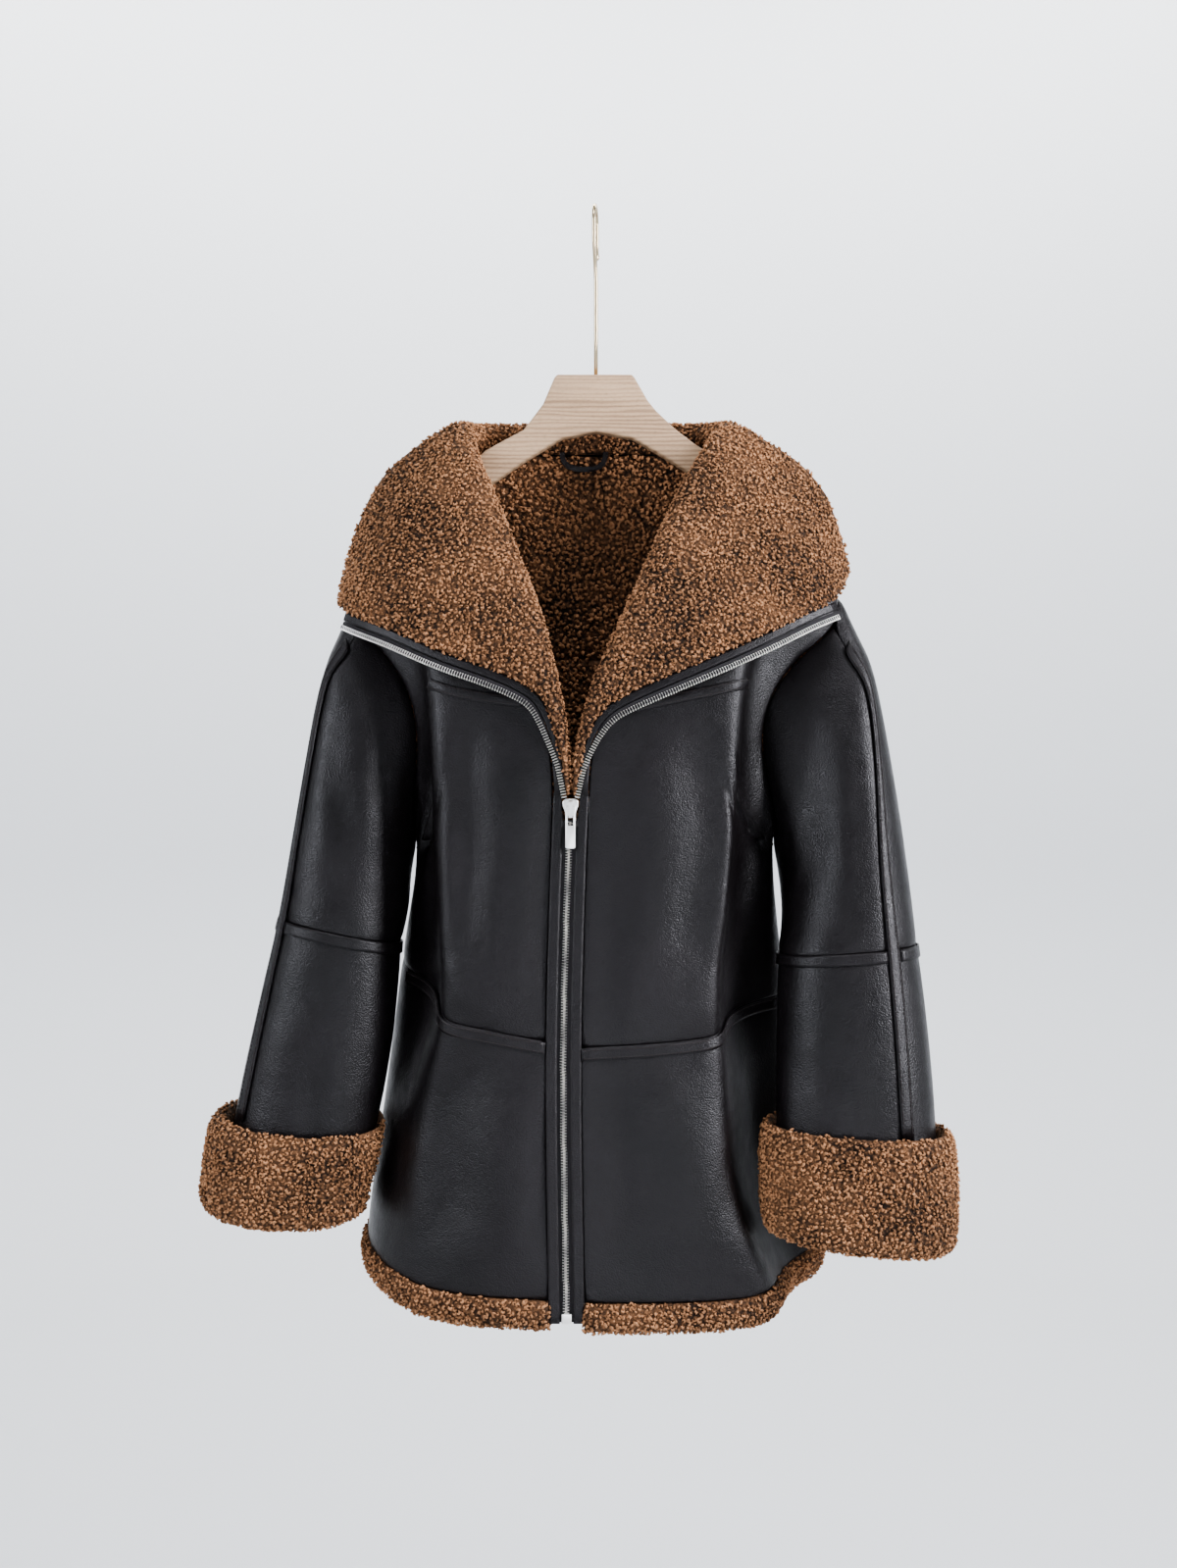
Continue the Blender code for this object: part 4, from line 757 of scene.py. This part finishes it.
def growCurls(wall, name, spacing, size, seed, index=0, where=None, lift=0.0):
    # a copy of the wall carries the curls; where(face) thins them, lift makes them paler: painted
    # light for curls that lie in the coat's shade
    field = plainObject(name, wall.data.copy())
    mesh = field.data
    kinds = np.zeros(len(mesh.polygons), dtype=np.int32)
    mesh.polygons.foreach_get("material_index", kinds)
    thick = np.ones(len(kinds), dtype=np.float32)
    if index is not None:
        thick = (kinds == index).astype(np.float32)
    if where is not None:
        thick *= [where(face) if share else 0.0 for face, share in zip(mesh.polygons, thick)]
    curly = mesh.attributes.new("curly", "FLOAT", "FACE")
    curly.data.foreach_set("value", thick)
    mesh.materials.clear()
    useNodes(field, curlTree, Spacing=spacing, Seed=seed, Lift=lift, **{"Curl Size": size})
    field.data.shade_smooth()
    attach(field, "coat")
    fleeceFields.append((name, len(field.data.polygons)))
    return field


def openAir(face):
    # none where the fleece lies against a wall
    spot = face.center + face.normal * 0.0005
    return float(coatTree.ray_cast(spot, face.normal, 0.011)[3] is None)


def inBack(face):
    # the inside of the back, and round the neck
    return float(face.center.y > 0.0 or face.center.z > -0.3)


def upperBack(face):
    # thins out below what shows in the open front
    return min(1.0, max(0.0, (face.center.z + 0.62) / 0.06))


for side, seed in zip(sides, (11, 23)):
    growCurls(pieceNamed[f"lapel_fleece_{side}"], f"lapel_curls_{side}", 0.0029, 1.0, seed)
    growCurls(pieceNamed[f"cuff_fleece_{side}"], f"cuff_curls_{side}", 0.003, 1.0, seed + 1,
              None, openAir)
    growCurls(pieceNamed[f"hem_fleece_{side}"], f"hem_curls_{side}", 0.0028, 1.0, seed + 2,
              None, openAir)
growCurls(pieceNamed["collar_fleece"], "collar_curls", 0.0032, 1.05, 31)
growCurls(pieceNamed["hem_fleece_back"], "hem_curls_back", 0.0031, 1.05, 37, None, openAir)
# the inner curls are painted paler (lift 0.9): painted light, as they lie in the coat's shade
for side, seed in zip(sides, (41, 53)):
    growCurls(pieceNamed[f"yoke_{side}"], f"inner_yoke_curls_{side}", 0.0038, 1.25, seed, 1,
              inBack, 0.9)
    growCurls(pieceNamed[f"back_{side}"], f"inner_back_curls_{side}", 0.004, 1.3, seed + 1, 1,
              upperBack, 0.9)
print("fleece grown", fleeceFields)


# lines of stitches and zip teeth, sizes in metres
stitching = {"Pitch": 0.0034, "Rod Length": 0.0026, "Rod Radius": 0.00038}
stitchInset = 0.0017
zipTeeth = {"pitch": 0.00227, "across": 0.0044, "along": 0.00074, "thick": 0.0019,
            "reach": 0.0012, "chainAcross": 0.0035, "chainOut": 0.0009, "sway": 0.0008,
            "leftFoot": (-0.0262, -0.0895, -0.5155), "rightFoot": (-0.0152, -0.0895, -0.5155),
            "lowest": -0.494}


def rowNodes(name, finish, sides):
    # rods stand along an edge line, turned by its own direction and by the stored face's way
    tree, start, end = newNodes(name, [
        ("Pitch", "NodeSocketFloat", 0.003), ("Rod Length", "NodeSocketFloat", 0.002),
        ("Rod Radius", "NodeSocketFloat", 0.0005), ("Rod Height", "NodeSocketFloat", 1.0),
        ("Across", "NodeSocketBool", False)])
    up = addNode(tree, "GeometryNodeInputNamedAttribute", {"Name": "faceWay"},
                 data_type="FLOAT_VECTOR")
    line = addNode(tree, "GeometryNodeMeshToCurve", {"Mesh": start.outputs["Geometry"]})
    even = addNode(tree, "GeometryNodeResampleCurve",
                   {"Curve": line.outputs[0], "Length": start.outputs["Pitch"]}, mode="LENGTH")
    along = addNode(tree, "GeometryNodeInputTangent")
    side = addNode(tree, "ShaderNodeVectorMath", {0: along.outputs[0], 1: up.outputs[0]},
                   operation="CROSS_PRODUCT")
    way = addNode(tree, "GeometryNodeSwitch",
                  {"Switch": start.outputs["Across"], "False": along.outputs[0],
                   "True": side.outputs[0]}, input_type="VECTOR")
    turn = addNode(tree, "FunctionNodeAlignRotationToVector", {"Vector": way.outputs[0]}, axis="Z")
    turn = addNode(tree, "FunctionNodeAlignRotationToVector",
                   {"Rotation": turn.outputs[0], "Vector": up.outputs[0]}, axis="X",
                   pivot_axis="Z")
    rod = addNode(tree, "GeometryNodeMeshCylinder",
                  {"Vertices": sides, "Radius": start.outputs["Rod Radius"],
                   "Depth": start.outputs["Rod Length"]})
    size = addNode(tree, "ShaderNodeCombineXYZ",
                   {"X": start.outputs["Rod Height"], "Y": 1.0, "Z": 1.0})
    placed = addNode(tree, "GeometryNodeInstanceOnPoints",
                     {"Points": even.outputs[0], "Instance": rod.outputs["Mesh"],
                      "Rotation": turn.outputs[0], "Scale": size.outputs[0]})
    real = addNode(tree, "GeometryNodeRealizeInstances", {"Geometry": placed.outputs[0]})
    dressed = addNode(tree, "GeometryNodeSetMaterial",
                      {"Geometry": real.outputs[0], "Material": finish})
    tree.links.new(dressed.outputs[0], end.inputs[0])
    return tree


stitchTree = rowNodes("stitch row", thread, 5)
toothTree = rowNodes("tooth row", nickel, 6)


def layRow(name, lines, tree, slot, **values):
    # lines: lists of (spot, face's way)
    verts, ways, edges = [], [], []
    for line in lines:
        edges += [(len(verts) + i, len(verts) + i + 1) for i in range(len(line) - 1)]
        verts += [tuple(spot) for spot, way in line]
        ways += [tuple(way) for spot, way in line]
    mesh = bpy.data.meshes.new(name)
    mesh.from_pydata(verts, edges, [])
    stored = mesh.attributes.new("faceWay", "FLOAT_VECTOR", "POINT")
    stored.data.foreach_set("vector", np.array(ways, dtype=np.float32).ravel())
    made = useNodes(plainObject(name, mesh), tree, **values)
    made.data.shade_smooth()
    made.data.set_sharp_from_angle(angle=math.radians(50))
    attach(made, "coat")
    return made


def slices(made, count, trim=0.02):
    # cross sections of a long narrow piece: centre, ways along, across and out, edges and rise
    spots = spotsOf(made.data)
    middle = spots.mean(axis=0)
    chord = np.linalg.svd(spots - middle, full_matrices=False)[2][0]
    chord *= -1 if chord[2] > 0 and abs(chord[2]) > 0.3 else 1
    high = (spots - middle) @ chord
    pairs = np.array([edge.vertices[:] for edge in made.data.edges])
    rings, low, top = [], high.min(), high.max()
    for level in np.linspace(low + (top - low) * trim, top - (top - low) * trim, count):
        a, b = high[pairs[:, 0]] - level, high[pairs[:, 1]] - level
        cut = a * b < 0
        share = (a[cut] / (a[cut] - b[cut]))[:, None]
        ring = spots[pairs[cut, 0]] * (1 - share) + spots[pairs[cut, 1]] * share
        rings.append((ring.mean(axis=0), ring))
    middles = np.array([centre for centre, ring in rings])
    run = np.gradient(middles, axis=0)
    run /= np.linalg.norm(run, axis=1, keepdims=True)
    rows = []
    for (centre, ring), along in zip(rings, run):
        flat = ring - centre
        flat = flat - np.outer(flat @ chord, along) / max(along @ chord, 0.3)
        across = np.linalg.svd(flat, full_matrices=False)[2][0]
        across -= along * (across @ along)
        across /= np.linalg.norm(across)
        facing = np.cross(along, across)
        if facing[1] > 0:
            facing = -facing
        if rows and across @ rows[-1][2] < 0:
            across = -across
        reach, rise = flat @ across, flat @ facing
        rows.append((centre, along, across, facing, reach.min(), reach.max(), rise.max()))
    return rows


def edgeLines(made, count, inset):
    # two lines just inside a strip's long edges, on its face
    lines = ([], [])
    for centre, along, across, facing, least, most, rise in slices(made, count):
        for line, reach in zip(lines, (least + inset, most - inset)):
            line.append((centre + across * reach + facing * rise, facing))
    return lines


for side in sides:
    rows = []
    for name, count in ((f"sleeve_strap_made_{side}", 60), (f"pocket_strip_made_{side}", 26)):
        rows += edgeLines(pieceNamed[name], count, stitchInset)
    layRow(f"strip_stitches_{side}", rows, stitchTree, "leather", **stitching)
layRow("chest_stitches", seamLines, stitchTree, "leather", **stitching)

# teeth stand on the open tape's outer edge
for side in sides:
    rows = []
    tape = pieceNamed[f"zip_side_made_{side}"]
    for centre, along, across, facing, least, most, rise in slices(tape, 70, 0.012):
        # the outer edge lies lower, away from the fleece
        outer = most if across[2] < 0 else least
        way = across * (1 if across[2] < 0 else -1)
        reach = abs(outer) - zipTeeth["across"] / 2 + zipTeeth["reach"]
        rows.append((centre + way * reach, facing))
    # the row runs on to the slider's shoulder
    rows.sort(key=lambda row: -row[0][2])
    foot = np.array(zipTeeth[side + "Foot"])
    rows = [row for row in rows if row[0][2] > zipTeeth["lowest"]]
    for share in (0.35, 0.7, 1.0):
        rows.append((rows[-1][0] * (1 - share) + foot * share, np.array((0.0, -1.0, 0.0))))
    layRow(f"open_teeth_{side}", [rows], toothTree, "zip_metal", Pitch=zipTeeth["pitch"],
           Across=True, **{"Rod Length": zipTeeth["across"], "Rod Radius": zipTeeth["along"],
                           "Rod Height": zipTeeth["thick"] / zipTeeth["along"]})
# closed teeth lock in turn, a little to the left and a little to the right
chain = slices(nodes["zip_chain"], 60, 0.004)
for shift, start in ((-1, 0.0), (1, zipTeeth["pitch"] / 2)):
    rows = []
    for centre, along, across, facing, least, most, rise in chain:
        across = across * (1 if across[0] > 0 else -1)
        rows.append((centre + across * shift * zipTeeth["sway"] - np.array((0, 0, start))
                     + facing * (rise + zipTeeth["chainOut"] - zipTeeth["thick"]), facing))
    layRow("closed_teeth_" + sides[(shift + 1) // 2], [rows], toothTree, "zip_metal",
           Pitch=zipTeeth["pitch"], Across=True,
           **{"Rod Length": zipTeeth["chainAcross"], "Rod Radius": zipTeeth["along"] * 0.75,
              "Rod Height": zipTeeth["thick"] / zipTeeth["along"]})
print("stitches and teeth made")


def smoothSolid(node, newName, finish, body, sharp):
    # a closed rigid piece, shaded smooth between the edges that turn by more than sharp degrees
    work = bmesh.new()
    work.from_mesh(nodes[node].data)
    bmesh.ops.remove_doubles(work, verts=work.verts, dist=0.00001)
    bmesh.ops.recalc_face_normals(work, faces=work.faces)
    mesh = bpy.data.meshes.new(newName)
    work.to_mesh(mesh)
    work.free()
    made = plainObject(newName, mesh, finish)
    made.data.shade_smooth()
    made.data.set_sharp_from_angle(angle=math.radians(sharp))
    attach(made, body)
    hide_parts(node)
    return made


for node, newName, finish, slot, body, sharp in (
        ("hanger", "wooden_hanger", wood, "wood", "coat", 30),
        ("hook", "hanger_hook", wire, "hook_wire", "coat", 60),
        ("slider", "zip_slider", nickel, "zip_metal", "coat", 30),
        ("bottom_stop", "zip_bottom_stop", nickel, "zip_metal", "coat", 30),
        ("pull_tab", "zip_pull_tab", nickel, "zip_metal", "pull_tab", 30),
        ("zip_chain", "zip_chain_core", paintedShadeNickel, "zip_metal", "coat", 30),
        ("neck_loop", "hanging_loop", stripHide, "strip_leather", "coat", 30)):
    smoothSolid(node, newName, finish, body, sharp)
print("hanger and metal made")


studio = {"wall": "#cdcfd1", "radius": 3.2, "floorAt": -1.6, "bend": 0.9, "top": 3.0,
          "around": 72}
paint, tree, shader = newMaterial("matt pale paint")  # no shine, so only the coat has glints
setInputs(tree, shader, {"Base Color": linear(studio["wall"]), "Roughness": 0.9})


def roundStudio():
    # the floor bends up into a wall all round, so the coat can be seen from any side
    bend, flat = studio["bend"], studio["radius"] - studio["bend"]
    points = [(0.0, studio["floorAt"])]
    for step in range(13):
        turn = math.radians(90 * step / 12)
        points.append((flat + bend * math.sin(turn),
                       studio["floorAt"] + bend - bend * math.cos(turn)))
    points.append((studio["radius"], studio["top"]))
    work = bmesh.new()
    spots = [work.verts.new((out, 0, high)) for out, high in points]
    edges = [work.edges.new(pair) for pair in zip(spots, spots[1:])]
    bmesh.ops.spin(work, geom=spots + edges, cent=(0, 0, 0), axis=(0, 0, 1),
                   angle=math.tau, steps=studio["around"], use_merge=True)
    bmesh.ops.remove_doubles(work, verts=work.verts, dist=0.0005)
    mesh = bpy.data.meshes.new("round studio")
    work.to_mesh(mesh)
    work.free()
    mesh.shade_smooth()
    return plainObject("round_studio", mesh, paint)


roundStudio()


def addArea(name, place, target, size, power, colour="#ffffff"):
    light = bpy.data.lights.new(name, "AREA")
    light.shape = "RECTANGLE"
    light.size, light.size_y = size
    light.energy = power
    light.color = linear(colour)[:3]
    made = bpy.data.objects.new(name, light)
    made.location = place
    made.rotation_euler = (Vector(target) - Vector(place)).to_track_quat("-Z", "Y").to_euler()
    scene.collection.objects.link(made)
    return made


addArea("window at the left", (-1.7, -1.2, 0.1), (0, 0, -0.5), (0.4, 1.5), 28, "#f3f6ff")
addArea("window at the right", (1.6, -0.9, 0.1), (0.05, 0, -0.45), (0.5, 1.5), 66, "#f8f8ff")
addArea("low bounce", (0.2, -1.9, -1.0), (0.0, 0, -0.7), (1.5, 0.35), 9, "#f2f5ff")
addArea("ceiling", (-0.1, -0.9, 1.5), (0, 0, -0.3), (1.2, 0.5), 22, "#f6f8ff")
addArea("wall glow", (0.0, 1.7, 2.2), (0, 3.1, -0.8), (3.6, 0.8), 170)
addArea("room light", (0.0, 0.3, 2.9), (0, 0.3, 0), (3.0, 3.0), 14)
world = bpy.data.worlds.new("soft room")
scene.world = world
world.use_nodes = True
setInputs(world.node_tree, world.node_tree.nodes["Background"],
          {"Color": linear("#dfe3e8"), "Strength": 0.07})
scene.view_settings.look = "AgX - Medium High Contrast"

camera = bpy.data.cameras.new("camera")
camera.sensor_fit = "VERTICAL"
camera.sensor_height = 36.0
camera.lens = 37.96
eye = bpy.data.objects.new("camera", camera)
eye.location = (-0.006, -1.45, -0.5048)
eye.rotation_euler = (math.radians(90), 0, 0)
scene.collection.objects.link(eye)
scene.camera = eye
